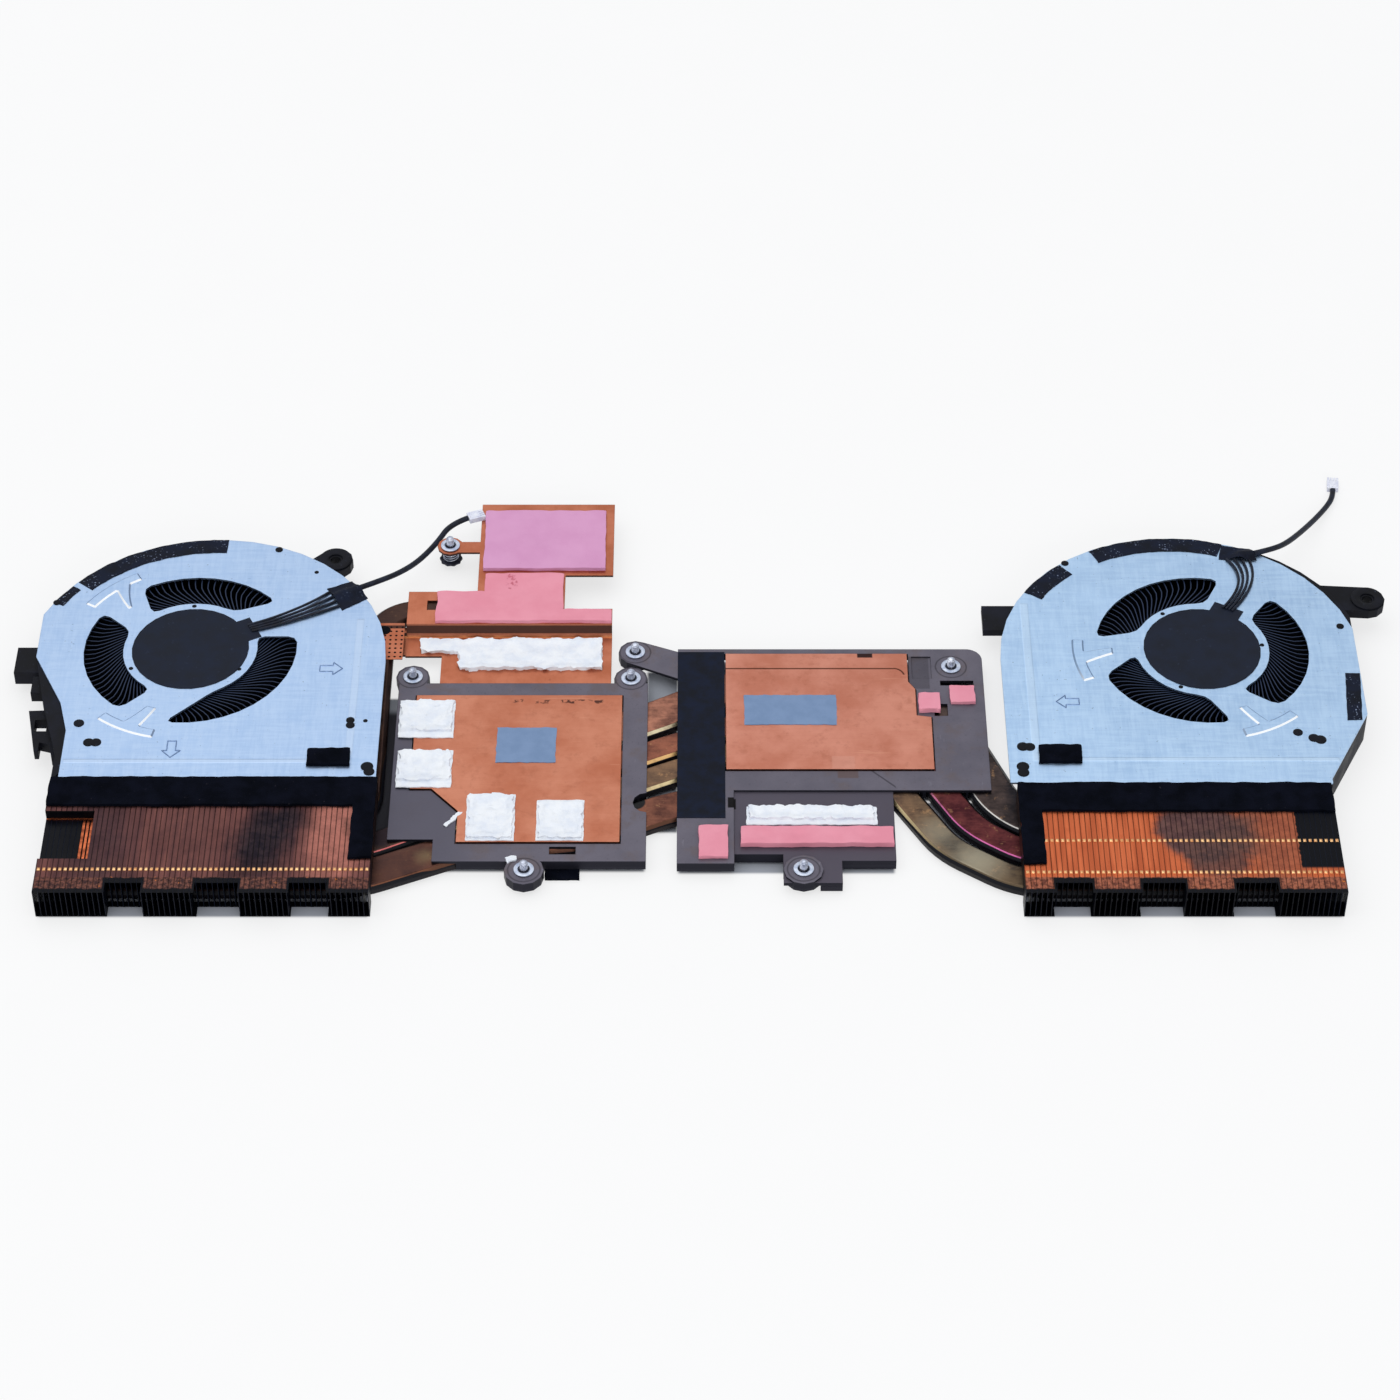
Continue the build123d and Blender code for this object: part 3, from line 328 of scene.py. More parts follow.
def fin_look(name, start, pitch, tones, patches, lip_tones, seed, steps, paint_from, notch_to):
    """Copper fins: folded tops with a line of painted shade at each fold, oxide patches, painted shade on the fin
    sides and black paint at the front and end.
    """
    look = Look(name, tones[1], 1, specular=0.1)
    phase = look.math("FRACT", look.math("DIVIDE", look.axis("X") - start * MM, pitch * MM))
    crease = look.math("ABSOLUTE", phase - 0.5).ramp(0.39, 0.48)
    tone = look.noise(1.3, 2, 0.5, seed, (1, 0.06, 0.06))
    cloud = look.noise(9, 5, 0.62, seed + 1)
    stain = look.noise(2.4, 4, 0.7, seed + 2).ramp(0.35, 0.65)
    push = look.wobble(5, 4, seed + 3)
    look.tint(tones[0], tone.ramp(0.3, 0.7))
    look.tint(tones[1], cloud.ramp(0.5, 0.75, 0, 0.7))
    for x, y, radius, soft, squeeze, share, shade, deep in patches:
        look.tint(look.mix(stain, shade, deep), look.spot(x, y, radius, soft, push, squeeze), share)
    pits = look.noise(1.1, 4, 0.7, seed + 4)
    pitted = look.mix(pits.ramp(0.4, 0.62), *lip_tones)
    pitted = look.mix(look.specks(0.66, 0.72, 1.4, 3, 0.6, seed + 6), pitted, "#ce783a")
    lip = look.band("Y", FIN_FRONT - 1, FIN_FRONT + 5, 0.3, look.wobble(2, 0.6, seed + 7))
    look.tint(pitted, lip, 0.92)
    # Painted shade in the gap at each fold between the fin tops.
    look.tint(look.mix(0.75, look.color, "#0e0808"), crease, 0.75)
    # Painted shade on the side faces of the fins.
    side = look.sides(0.4)
    look.tint("#1e110e", side)
    edge = look.wobble(1.8, 0.7, seed + 5)
    depth = look.axis("Y") + edge
    painted = depth.ramp((FIN_FRONT + 0.9) * MM, (FIN_FRONT + 1.4) * MM, 1, 0)
    inset = depth.ramp((FIN_FRONT + 4.6) * MM, (FIN_FRONT + 5) * MM, 1, 0)
    for low, high in steps:
        painted |= look.band("X", low - 0.6, high + 0.6, 0.2) * inset
    painted |= side * look.band("Y", FIN_FRONT - 1, FIN_FRONT + 12, 0.5)
    end = (look.axis("X") + edge).ramp((paint_from - 0.2) * MM, (paint_from + 0.2) * MM)
    end *= look.axis("Y").ramp((FIN_FRONT + 7.6) * MM, (FIN_FRONT + 8.6) * MM)
    notch = look.band("Z", -1, 6.4, 0.1) * look.band("X", -170, notch_to, 0.1)
    painted |= end | notch
    look.tint(look.mix(crease.ramp(0.2, 0.8), "#03050d", "#0c1120"), painted)
    look.set("Metallic", 1 - (painted | side * 0.8))
    return look.done(tone * 0.5 - crease - lip * pits.ramp(0.4, 0.7), 0.12, 0.8, (cloud, 0.3, 0.8, 0.32, 0.52))


def pipe_look(name, tones, right_tones, rims, seed, patches=()):
    """Flattened copper pipe with heat tints, a painted highlight along its rounded edge, and painted shade on its
    sides, its back edges, where it runs under the fin stacks and in a bracket notch over it.
    """
    look = Look(name, tones[0], 1, specular=0.2)
    cloud = look.noise(7, 5, 0.65, seed)
    drawn = look.noise(0.7, 3, 0.6, seed + 2, (0.2, 1, 1))
    right = look.axis("X").ramp(0.044, 0.062)
    left = look.axis("X").ramp(-0.07, -0.066, 1, 0)
    share = (cloud + drawn * 0.3).ramp(0.45, 0.85)
    look.color = look.mix(right, look.mix(share, *tones), look.mix(share, *right_tones))
    look.tint("#ce9e70", look.specks(0.58, 0.72, 2.6, 4, 0.7, seed + 3), 0.35)
    look.tint("#3a2c2b", look.axis("X").ramp(-0.072, -0.058, 0.7, 0))
    for x, y, radius, soft, amount, color in patches:
        look.tint(color, look.spot(x, y, radius, soft, look.wobble(3, 1.5, seed + 4)), amount)
    up = look.facing("Z")
    edge = up.ramp(0.45, 0.6) * up.ramp(0.82, 0.95, 1, 0)
    front = look.facing("Y").ramp(-0.3, 0.05, 1, 0)
    height = look.axis("Z")
    line_low = (right | left) * (0.4 * MM) + 2.35 * MM
    above = (height - line_low).ramp(0, 0.12 * MM)
    line = above * height.ramp(2.98 * MM, 3.12 * MM, 1, 0)
    under = edge * (1 - above)
    bare = look.band("X", -82, 80, 0.5)
    # Painted highlight: a thin line on the front-facing rounded edge, left out where the pipe runs under the fin
    # stacks.
    lit = edge * front * cloud.ramp(0.3, 0.55, 0.55, 1) * line * bare
    left_rim, rim, right_rim = rims
    look.tint(look.mix(left, look.mix(right, rim, right_rim), left_rim), lit)
    # Painted shade on back-facing edges, on edges under the fin stacks and below the highlight line.
    look.tint("#1e1616", edge * (1 - front) * 0.7 | edge * (1 - bare) * 0.95 | under * 0.95)
    # Painted shade on the sides, and in the bracket notch over the pipe.
    side = up.ramp(0.3, 0.5, 1, 0) | under
    notch_shade = look.spot(-17.5, -36.7, 2.5, 0.2)
    look.tint("#0d0f17", side, 0.95)
    look.tint("#040408", notch_shade)
    look.set("Metallic", 1 - (side * 0.85 | notch_shade))
    return look.done(drawn, 0.03, 0.4, (cloud + drawn, 0.6, 1.4, 0.26, 0.46), 0.5)


def bracket_look():
    """Grey coated metal with brown clouds, rubbed places and a seam, with painted shade in rings at the screw
    bosses, in a recess, in a square hole and on the sides.
    """
    look = Look("bracket_grey", "#5f5c68", 0.6, specular=0.25)
    cloud = look.noise(14, 5, 0.62, 41)
    look.tint("#706c78", cloud.ramp(0.3, 0.7))
    look.tint("#685d5e", look.specks(0.5, 0.7, 7, 4, 0.6, 43), 0.6)
    look.tint("#8e8b98", look.specks(0.63, 0.74, 1.8, 4, 0.7, 44, (1, 0.2, 1)), 0.3)
    look.tint("#423e46", look.specks(0.64, 0.7, 0.7, 2, 0.5, 45), 0.25)
    look.tint("#524d59", look.band("Z", 2, 3.6, 0.1), look.band("Y", -70, -33, 0.3), 0.9)
    look.tint("#585663", look.axis("X").ramp(-0.066, -0.052, 0.8, 0), look.band("Y", -62, -14, 5))
    look.tint("#624c44", look.rect(33, 38.2, -29, -25, 0.2), 0.6)
    # Painted shade standing for a square hole.
    look.tint("#0c090c", look.rect(5.5, 7.5, -39.4, -35.8, 0.15))
    worn = look.wobble(1.5, 0.12, 46)
    slant = look.axis("X") + (look.axis("Y") + worn)
    seam = look.math("ABSOLUTE", slant - 15.2 * MM).ramp(0.2 * MM, 0.45 * MM, 0.6, 0)
    lines = seam * look.rect(40.6, 47.4, -33, -25, 0.1)
    # Painted shade in rings at the edges of the screw bosses.
    for name, (x, y) in SCREW_PLACES.items():
        if name != "regulator":
            lines |= look.ring(x, y, 3.75, 4.15, worn) * 0.55
    # Painted shade in a sunk recess.
    recess_shade = look.band("X", 46.4, 57.4, 0.2, worn) * look.band("Y", 3.4, 15.4, 0.2, worn)
    look.tint("#28242a", lines | recess_shade * 0.4)
    # Painted shade on the sides.
    look.tint("#141621", look.sides(), 0.9)
    return look.done(look.noise(0.45, 3, 0.6, 42), 0.03, 0.4, (cloud, 0.3, 0.7, 0.42, 0.58), 0.25)


def cold_plate_look():
    """Brushed copper, paler on the right plate, with ink, a scribed line and a tab, painted shade in a notch and
    painted shade on the sides.
    """
    look = Look("plate_copper", "#b46c52", 1)
    cloud = look.noise(16, 5, 0.62, 51)
    brushed = look.noise(0.5, 3, 0.6, 53, (0.06, 1, 1))
    tone = cloud.ramp(0.3, 0.7)
    look.tint("#cc886e", tone)
    look.tint(look.mix(tone, "#c07a66", "#d69482"), look.axis("X").ramp(-0.012, -0.008, 0, 0.7))
    look.tint("#9c5c46", look.specks(0.5, 0.75, 3.2, 4, 0.7, 52), 0.35)
    look.tint("#e0a68a", look.specks(0.7, 0.74, 1.2, 2, 0.5, 54, (0.1, 1, 1)), 0.18)
    push = look.wobble(2.4, 0.8, 55)
    ink = look.band("X", -49, -26, 0.6) * look.band("Y", -2.4, -1.2, 0.3, push)
    look.tint("#2c2224", ink, look.specks(0.5, 0.56, 3.4, 3, 0.7, 56), 0.85)
    bend = look.ring(48, 7.6, 2.75, 3.2) * look.rect(48.4, 52, 8.2, 12, 0.1)
    look.tint("#46241c", look.rect(5, 48.6, 10.25, 10.7, 0.3, 0.12) | bend, 0.9)
    look.tint("#d6a090", look.rect(31.7, 37.4, -26, -21.6, 0.2), 0.35)
    # Painted shade standing for a notch.
    look.tint("#1e191e", look.rect(39.1, 43, 14.6, 17.6, 0.15), 0.95)
    # Painted shade on the sides.
    look.tint("#542a20", look.sides(), 0.75)
    return look.done(brushed, 0.02, 0.35, (cloud + brushed, 0.6, 1.4, 0.34, 0.5), 0.2)


def regulator_look():
    """Stained copper with a painted highlight at the foot of its fold, and painted shade on the fold and the sides.
    """
    look = Look("regulator_copper", "#ae6448", 1, specular=0.15)
    cloud = look.noise(9, 5, 0.62, 61)
    brushed = look.noise(0.5, 3, 0.6, 63, (1, 0.08, 1))
    look.tint("#c67c60", cloud.ramp(0.3, 0.7))
    look.tint("#804636", look.specks(0.6, 0.75, 2.4, 4, 0.7, 62), 0.4)
    # Painted highlight where the fold meets the lower shelf.
    look.tint("#ec9660", look.band("Y", 23.2, 24.1, 0.15), look.band("Z", 2, 3.6, 0.1), 0.8)
    # Painted shade on the riser of the fold and on the sides.
    fold = look.band("Y", 24.1, 25.3, 0.1) * look.band("Z", 2.6, 6, 0.2)
    side = look.sides() | fold
    look.tint("#281410", side, 0.92)
    look.set("Metallic", 1 - side * 0.75)
    return look.done(brushed, 0.02, 0.35, (cloud + brushed, 0.6, 1.4, 0.32, 0.48), 0.15)


def pad_look(name, color, pale, dark, seed):
    """Soft thermal pad with nicks and one torn mark."""
    look = Look(name, color, specular=0.2)
    cloud = look.noise(9, 4, 0.6, seed)
    look.tint(pale, cloud.ramp(0.3, 0.7))
    torn = look.spot(-50.7, 40.8, 1.5, 0.2, look.wobble(1.2, 0.8, seed), 0.5)
    torn = look.band("Z", 7, 7.8, 0.1) * torn * look.specks(0.5, 0.6, 0.9, 3, 0.6, seed + 3)
    nick = look.specks(0.72, 0.77, 1.5, 4, 0.7, seed + 2) | torn
    look.tint(dark, nick, 0.6)
    height = look.noise(0.5, 3, 0.6, seed + 1) * 0.4 - nick
    return look.done(height, 0.08, 0.6, (cloud, 0.3, 0.7, 0.62, 0.8))


RIB_STEEL = steel_look("rib_steel", edges=True)
BLACK = black_look("black_plastic", "#090a0f", "#14161f", 0.2, 2.2)
HOUSING = black_look("housing_plastic", "#0c0d13", "#1a1c27", 0.3, 2.6)
FLAT_BLACK = black_look("flat_black", "#05060a", "#0b0c12", 0.1, 2.9, 0.05)
BLADE = blade_look()
LABEL = plain_look(
    "hub_label", ("#111725", "#1a2132"), (5, 5, 0.65, 11), (0.3, 0.7), (0.4, 3, 0.6, 12),
    (0.02, 0.35, None), (0.5, 0.68), 0.15, ("#38425a", 0.3, 0.62, 0.75, 2.2, 4, 0.7, 13.5),
)
RIM_TAPE = tape_look("rim_tape", 15, 0.8)
CABLE_TAPE = tape_look("cable_tape", 17, 0.2)
FOAM = foam_look()
# Dark tones for soot patches on the left fins and for painted shade on the shared pipe.
SOOT_AND_SHADE = ("#32282d", "#1e1a22")
LEFT_FIN = fin_look("left_fin_copper", -162.4, 1.305, ("#704844", "#543738"), [
    (-149, -54, 8, 7, 0.4, 0.85, "#4a3537", "#3e2d32"),
    (-127, -52, 9, 6, 0.7, 0.3, "#80544c", "#684642"),
    (-90.5, -53, 7, 4, 0.4, 0.95, "#ac6e62", "#966056"),
    (-110.5, -61, 5.5, 4, 0.7, 0.85, *SOOT_AND_SHADE), (-107.5, -56, 6.5, 4, 0.8, 0.95, *SOOT_AND_SHADE),
    (-106, -50, 6.5, 4, 0.9, 0.95, *SOOT_AND_SHADE), (-101, -46.5, 4, 3, 0.9, 0.7, *SOOT_AND_SHADE),
    (-87.6, -52, 1.6, 1, 0.6, 0.6, "#68463e", "#543a36"),
], ("#744c42", "#3e2c2e"), 121, LEFT_STEPS, 400, -150.2)
RIGHT_FIN = fin_look("right_fin_copper", 77.3, 1.313, ("#d6724a", "#ba5e3c"), [
    (139, -54, 8, 3, 0.5, 0.85, "#a8624a", "#884e3e"),
    (121, -52, 10.5, 2, 1, 0.95, "#664e4c", "#4a3a3e"),
    (124.5, -60, 8, 2, 1, 0.9, "#6c4e48", "#503e3e"),
    (131, -52.5, 4.5, 3, 0.6, 0.7, "#705048", "#54403e"),
], ("#a86852", "#643e36"), 131, RIGHT_STEPS, 144.6, -400)
BRACKET = bracket_look()
REGULATOR = regulator_look()
LILAC = pad_look("pad_lilac", "#d295bf", "#d89ec6", "#b06896", 71)
PINK = pad_look("pad_pink", "#e28ea1", "#e899ab", "#b03e52", 76)
# Its pale blue marks are painted shade in the putty's hollows.
PUTTY = plain_look(
    "putty_white", ("#f0f3f8", "#e2e8f3"), (4, 4, 0.65, 81), (0.35, 0.72), (0.6, 4, 0.65, 82),
    (0.12, 0.6, None), (0.6, 0.8), 0.25, ("#c8d2e4", 1, 0.62, 0.82, 0.6, 4, 0.65, 82),
)
FILM = plain_look(
    "die_film", ("#718aae", "#7c94b8"), (4, 4, 0.6, 91), (0.3, 0.7), (0.4, 3, 0.6, 92),
    (0.02, 0.4, None), (0.46, 0.6), 0.25, ("#5c7092", 0.35, 0.62, 0.75, 1.6, 4, 0.7, 93), 0.2,
)
CABLE = plain_look(
    "cable_black", ("#10131d", "#1f2535"), (2.5, 3, 0.6, 101), (0.3, 0.7), (0.35, 2, 0.6, 102),
    (0.02, 0.4, None), (0.38, 0.55), 0.2,
)
PLUG = plain_look(
    "plug_white", ("#eaecf6", "#ced1e6"), (1.8, 3, 0.6, 111), (0.35, 0.7), (0.3, 2, 0.5, 112),
    (0.01, 0.3, None), (0.34, 0.5), 0.3,
)
SCREW = metal_look("screw_steel", "#dee3f0", "#969eb4", 1, 95)
WASHER = metal_look("washer_white", "#d6deee", "#aab6d0", 0.35, 97)
DARK_STEEL = metal_look("head_dark", "#2c2e3c", "#141620", 0.5, 99)
ARROW_STEEL = metal_look("arrow_steel", "#849bc0", "#7288ac", 1, 153)
GOLD = metal_look("fold_gold", "#face96", "#ce8e5c", 1, 149)
NOTCH_COPPER = metal_look("notch_copper", "#cc6e48", "#8c4830", 1, 151)

# A node takes the finish whose key is the longest one found in its name.
FINISH = {
    "fan_plate": steel_look("fan_steel"), "fan_housing": HOUSING, "impeller": BLADE, "hub_labels": LABEL,
    "rim_tapes": RIM_TAPE, "cable_tapes": CABLE_TAPE, "bridge_tape": tape_look("bridge_tape", 19, 0),
    "foam_blocks": FOAM, "fin_gaskets": FOAM, "left_fin_stack": LEFT_FIN, "right_fin_stack": RIGHT_FIN,
    "bracket": BRACKET, "cold_plate": cold_plate_look(), "regulator_plate": REGULATOR, "lilac_pad": LILAC,
    "pink_pads": PINK, "putty": PUTTY, "die_pads": FILM, "_screw": SCREW, "_spring": SCREW, "fan_shaft": SCREW,
    "fan_wires": CABLE, "fan_cable": CABLE, "fan_plug": PLUG,
    "rotor_magnet": metal_look("magnet", "#46464c", "#2c2c32", 0.6, 141),
    "fan_bearing": metal_look("bearing_brass", "#c4a05c", "#96743e", 1, 143),
    "stator": metal_look("stator_iron", "#966842", "#5c4232", 0.8, 145),
    "motor_board": metal_look("board_green", "#224e36", "#183828", 0, 147),
}
# Painted highlight tone for glints on the shared pipe.
PAINTED_GLEAM = "#a69e8a"
FRONT_TONES = ("#4e322d", "#845646")
DARK_TONES = ("#3e2e2a", "#705242")
# Each row: pipe, tones, tones on the right, painted highlight colours along the rounded edge on the left, middle and
# right, seed, and patches.
for pipe, *style in (
    ("wide", ("#6c483e", "#ba806a"), ("#322c2c", "#584a46"), ("#fff0c8", "#fff0c8", "#faf6f0"), 31),
    ("middle", ("#603c34", "#9c624e"), ("#421e24", "#703a3a"), ("#ffce8c", "#ffce8c", "#f680c4"), 33),
    ("shared", ("#58463c", "#886a52"), ("#38302e", "#705e4a"), ("#e27c7a", "#fce4b0", "#685a48"), 35, [
        (66.5, -57, 5.5, 5, 0.75, PAINTED_GLEAM), (57.5, -47, 4.5, 4, 0.45, PAINTED_GLEAM),
        # Painted shade where the shared pipe runs into the dark gap beside the left fin stack.
        (-80.5, -48.5, 4.5, 2, 0.85, SOOT_AND_SHADE[1]),
    ]),
    ("front", FRONT_TONES, FRONT_TONES, ("#805440", "#68483a", "#68483a"), 37, [
        # Painted highlight on the front pipe near the bracket.
        (-68.8, -55.3, 1.8, 2.2, 0.4, "#867456"),
    ]),
    ("regulator", DARK_TONES, DARK_TONES, ["#967056"] * 3, 39),
):
    FINISH[f"{pipe}_heat_pipe"] = pipe_look(f"{pipe}_pipe", *style)
for node_name, item in nodes.items():
    keys = [key for key in FINISH if key in node_name]
    item.data.materials.clear()
    item.data.materials.append(FINISH[max(keys, key=len)])


# Mesh helpers, in millimetres. A mover takes a point of a shape and gives its new place.

noise.seed_set(7)
# The shape in work, which piece takes over and clears.
build = bmesh.new()


def marks(values, step):
    """The given places along an axis with evenly spaced ones between them."""
    values = sorted(set(values))
    lines = [values[0]]
    for low, high in zip(values, values[1:]):
        count = max(1, round((high - low) / step))
        lines += [low + (high - low) * number / count for number in range(1, count + 1)]
    return lines


def slab(rects, bottom, thick, step=1, ease=0.2, move=None):
    """A block over joined rectangles (x0, x1, y0, y1) with eased upper edges. move then shifts its points."""
    part = bmesh.new()
    top = bottom + thick
    xs = marks([x for rect in rects for x in rect[:2]], step)
    ys = marks([y for rect in rects for y in rect[2:]], step)
    filled = {
        (i, j)
        for i, x in enumerate(zip(xs, xs[1:])) for j, y in enumerate(zip(ys, ys[1:]))
        if any(rect[0] < sum(x) / 2 < rect[1] and rect[2] < sum(y) / 2 < rect[3] for rect in rects)
    }
    points = {}

    def point(place, z):
        if (place, z) not in points:
            points[place, z] = part.verts.new((xs[place[0]], ys[place[1]], z))
        return points[place, z]

    rim = []
    for i, j in sorted(filled):
        corners = [(i, j), (i + 1, j), (i + 1, j + 1), (i, j + 1)]
        part.faces.new([point(corner, top) for corner in corners])
        part.faces.new([point(corner, bottom) for corner in reversed(corners)])
        for number, (di, dj) in enumerate(((0, -1), (1, 0), (0, 1), (-1, 0))):
            if (i + di, j + dj) not in filled:
                first, second = corners[number], corners[(number + 1) % 4]
                part.faces.new([point(first, bottom), point(second, bottom), point(second, top), point(first, top)])
                rim.append(part.edges.get((point(first, top), point(second, top))))
    if ease:
        bmesh.ops.bevel(part, geom=rim, offset=ease, segments=2, affect="EDGES", profile=0.5)
    if move is not None:
        for vert in part.verts:
            vert.co = move(vert.co.copy())
    spare = bpy.data.meshes.new("spare")
    part.to_mesh(spare)
    part.free()
    build.from_mesh(spare)
    bpy.data.meshes.remove(spare)


def ragged(size, amount, lift, seed, floor):
    """A mover that makes outlines and tops uneven and leaves the underside flat."""

    def move(place):
        push = noise.noise_vector(place / size + Vector((seed, 0, 0)))
        push += 0.45 * noise.noise_vector(place * 3 / size + Vector((0, seed, 0)))
        raised = push.z * lift if place.z > floor + 0.05 else 0
        return place + Vector((push.x * amount, push.y * amount, raised))

    move.floor = floor
    return move


def pressed(rect, rim, depth, after):
    """A mover that sinks the middle of a block inside a rim, then hands on."""

    def move(place):
        edge = min(place.x - rect[0], rect[1] - place.x, place.y - rect[2], rect[3] - place.y)
        share = min(1, max(0, (edge - rim * 0.4) / rim))
        moved = after(place)
        if moved.z > after.floor + 0.05:
            moved.z -= depth * share * share * (3 - 2 * share)
        return moved

    return move


def dented(dents, after):
    """A mover with round dents (x, y, radius, depth), then hands on."""

    def move(place):
        moved = after(place)
        for x, y, radius, depth in dents:
            away = math.hypot(place.x - x, place.y - y) / radius
            if away < 1 and place.z > after.floor + 0.3:
                moved.z -= depth * (1 - away * away) ** 2
        return moved

    return move


def around(centre, radius, middle, after):
    """A mover that wraps x along a circle and takes y as the distance from its centre, then hands on."""

    def move(place):
        angle = math.radians(middle) + place.x / radius
        return after(Vector((centre[0] + place.y * math.cos(angle), centre[1] + place.y * math.sin(angle), place.z)))

    return move


def spread_over(corners, line, height, width, after):
    """A mover that spreads the unit square over four corners and drapes it over a line, then hands on."""

    def move(place):
        u, v = place.x, place.y
        flat = Vector((0, 0))
        for share, corner in zip(((1 - u) * (1 - v), (1 - u) * v, u * v, u * (1 - v)), corners):
            flat += share * Vector(corner)
        away = 1e9
        for first, second in zip(line, line[1:]):
            first, second = Vector(first), Vector(second)
            along = min(1, max(0, (flat - first).dot(second - first) / (second - first).length_squared))
            away = min(away, (flat - first.lerp(second, along)).length)
        hump = height * math.exp(-((away / width) ** 2))
        return after(Vector((flat.x, flat.y, place.z + hump)))

    return move


def turned(x, y, heading, before=None):
    """A mover that turns a piece about its own middle and puts it in place."""
    turn = Matrix.Rotation(math.radians(heading), 3, "Z")

    def move(place):
        return turn @ (before(place) if before else place) + Vector((x, y, 0))

    return move


def skin(rings):
    """The faces between rings of points."""
    faces = []
    for ring, following in zip(rings, rings[1:]):
        for k in range(len(ring)):
            ahead = (k + 1) % len(ring)
            faces.append(build.faces.new([ring[k], ring[ahead], following[ahead], following[k]]))
    return faces


def tube(points, radius, sides):
    """A round rod along a line of points."""
    points = [Vector(point) for point in points]
    angles = [2 * math.pi * k / sides for k in range(sides)]
    rings = []
    for number, place in enumerate(points):
        ahead = (points[min(number + 1, len(points) - 1)] - points[max(number - 1, 0)]).normalized()
        side = ahead.cross(Vector((0, 0, 1))).normalized()
        up = side.cross(ahead)
        rings.append([build.verts.new(place + radius * (side * math.cos(a) + up * math.sin(a))) for a in angles])
    skin(rings)
    build.faces.new(rings[0][::-1])
    build.faces.new(rings[-1])


def lathe(x, y, base, profile, sides, finish=0, shape=None, ring_shaped=False):
    """A turned shape from (radius, height over base) pairs, capped unless ring_shaped. shape may change a radius."""
    rings = []
    for radius, height in profile:
        ring = []
        for k in range(sides):
            angle = 2 * math.pi * k / sides
            out = shape(angle, radius) if shape else radius
            ring.append(build.verts.new((x + out * math.cos(angle), y + out * math.sin(angle), base + height)))
        rings.append(ring)
    if ring_shaped:
        faces = []
        rings.append(rings[0])
    else:
        faces = [build.faces.new(rings[0][::-1]), build.faces.new(rings[-1])]
    for face in faces + skin(rings):
        face.material_index = finish


def piece(name, materials, stands_for=(), body="base", smooth=40):
    """The shape in work as a piece that rides on a body."""
    bmesh.ops.scale(build, vec=(MM, MM, MM), verts=build.verts)
    bmesh.ops.recalc_face_normals(build, faces=build.faces)
    mesh = bpy.data.meshes.new(name)
    build.to_mesh(mesh)
    build.clear()
    mesh.shade_smooth()
    mesh.set_sharp_from_angle(angle=math.radians(smooth))
    for material in materials:
        mesh.materials.append(material)
    item = bpy.data.objects.new(name, mesh)
    scene.collection.objects.link(item)
    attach(item, body)
    if stands_for:
        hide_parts(*stands_for)
    return item


# Soft pieces: putty, pads, films, foam and tapes

SMOOTH = 60
SHEET = 0.14
PAD = 1.05
MEMORY_PRINTS = [
    (-77.6, -63.6, -15.1, -1.7), (-77.3, -63.5, -32.8, -19.8), (-59.2, -47.2, -51.3, -35.6),
    (-41.8, -30.1, -51.3, -37.4),
]
for number, rect in enumerate(MEMORY_PRINTS):
    spread = ragged(1.6, 0.22, 0.05, 33 + number, PLATE_TOP)
    slab([rect], PLATE_TOP, 0.3, 0.6, 0.1, spread)
    x0, x1, y0, y1 = rect
    thick = (x0 + 0.5, x1 - 0.5, y0 + (2.2 if number < 2 else 0.6), y1 - (0.4 if number < 3 else 1.2))
    rough = ragged(1.9, 0.75, 0.3, 3 + number, PLATE_TOP)
    slab([thick], PLATE_TOP + 0.1, 0.9, 0.5, 0.2, pressed(thick, 1.5, 0.5, rough))
for x, y, length, width, heading, seed in ((-62.3, -43.4, 6.4, 0.9, 51, 7), (-47.6, -57.3, 2.6, 1.6, 20, 8)):
    smear = turned(x, y, heading, ragged(1.5, 0.4, 0.15, seed, BRACKET_TOP))
    rects = [(-length / 2, length / 2, -width / 2, width / 2)]
    slab(rects, BRACKET_TOP, 0.4, 0.45, 0.15, smear)
piece("memory_prints", [PUTTY], ["memory_putty"], smooth=SMOOTH)

strip = (-63.6, -26.7, 11.2, 22.2)
rough = pressed(strip, 1.3, 0.4, ragged(2, 0.75, 0.3, 11, BACK_SHELF))
slab([strip, (-73.5, -63.6, 17.4, 22.2)], BACK_SHELF, 1, 0.6, 0.22, rough)
spread = ragged(1.6, 0.22, 0.05, 37, FRONT_SHELF)
slab([(10.1, 42.4, -45, -38.7)], FRONT_SHELF, 0.3, 0.6, 0.1, spread)
strip = (10.6, 41.4, -43.2, -38.9)
rough = pressed(strip, 1.2, 0.4, ragged(1.8, 0.7, 0.3, 12, FRONT_SHELF))
slab([strip], FRONT_SHELF + 0.1, 0.9, 0.5, 0.2, rough)
piece("regulator_strips", [PUTTY], ["regulator_putty"], smooth=SMOOTH)

dents = [(-44, 58, 5, 0.3), (-33, 51, 4, 0.25), (-52, 64, 4, 0.25)]
rough = dented(dents, ragged(7, 0.35, 0.16, 21, DECK_TOP))
slab([(-58.4, -26.4, 46, 69)], DECK_TOP, PAD, 0.8, 0.25, rough)
piece("lilac_sheet", [LILAC], ["lilac_pad"], smooth=SMOOTH)

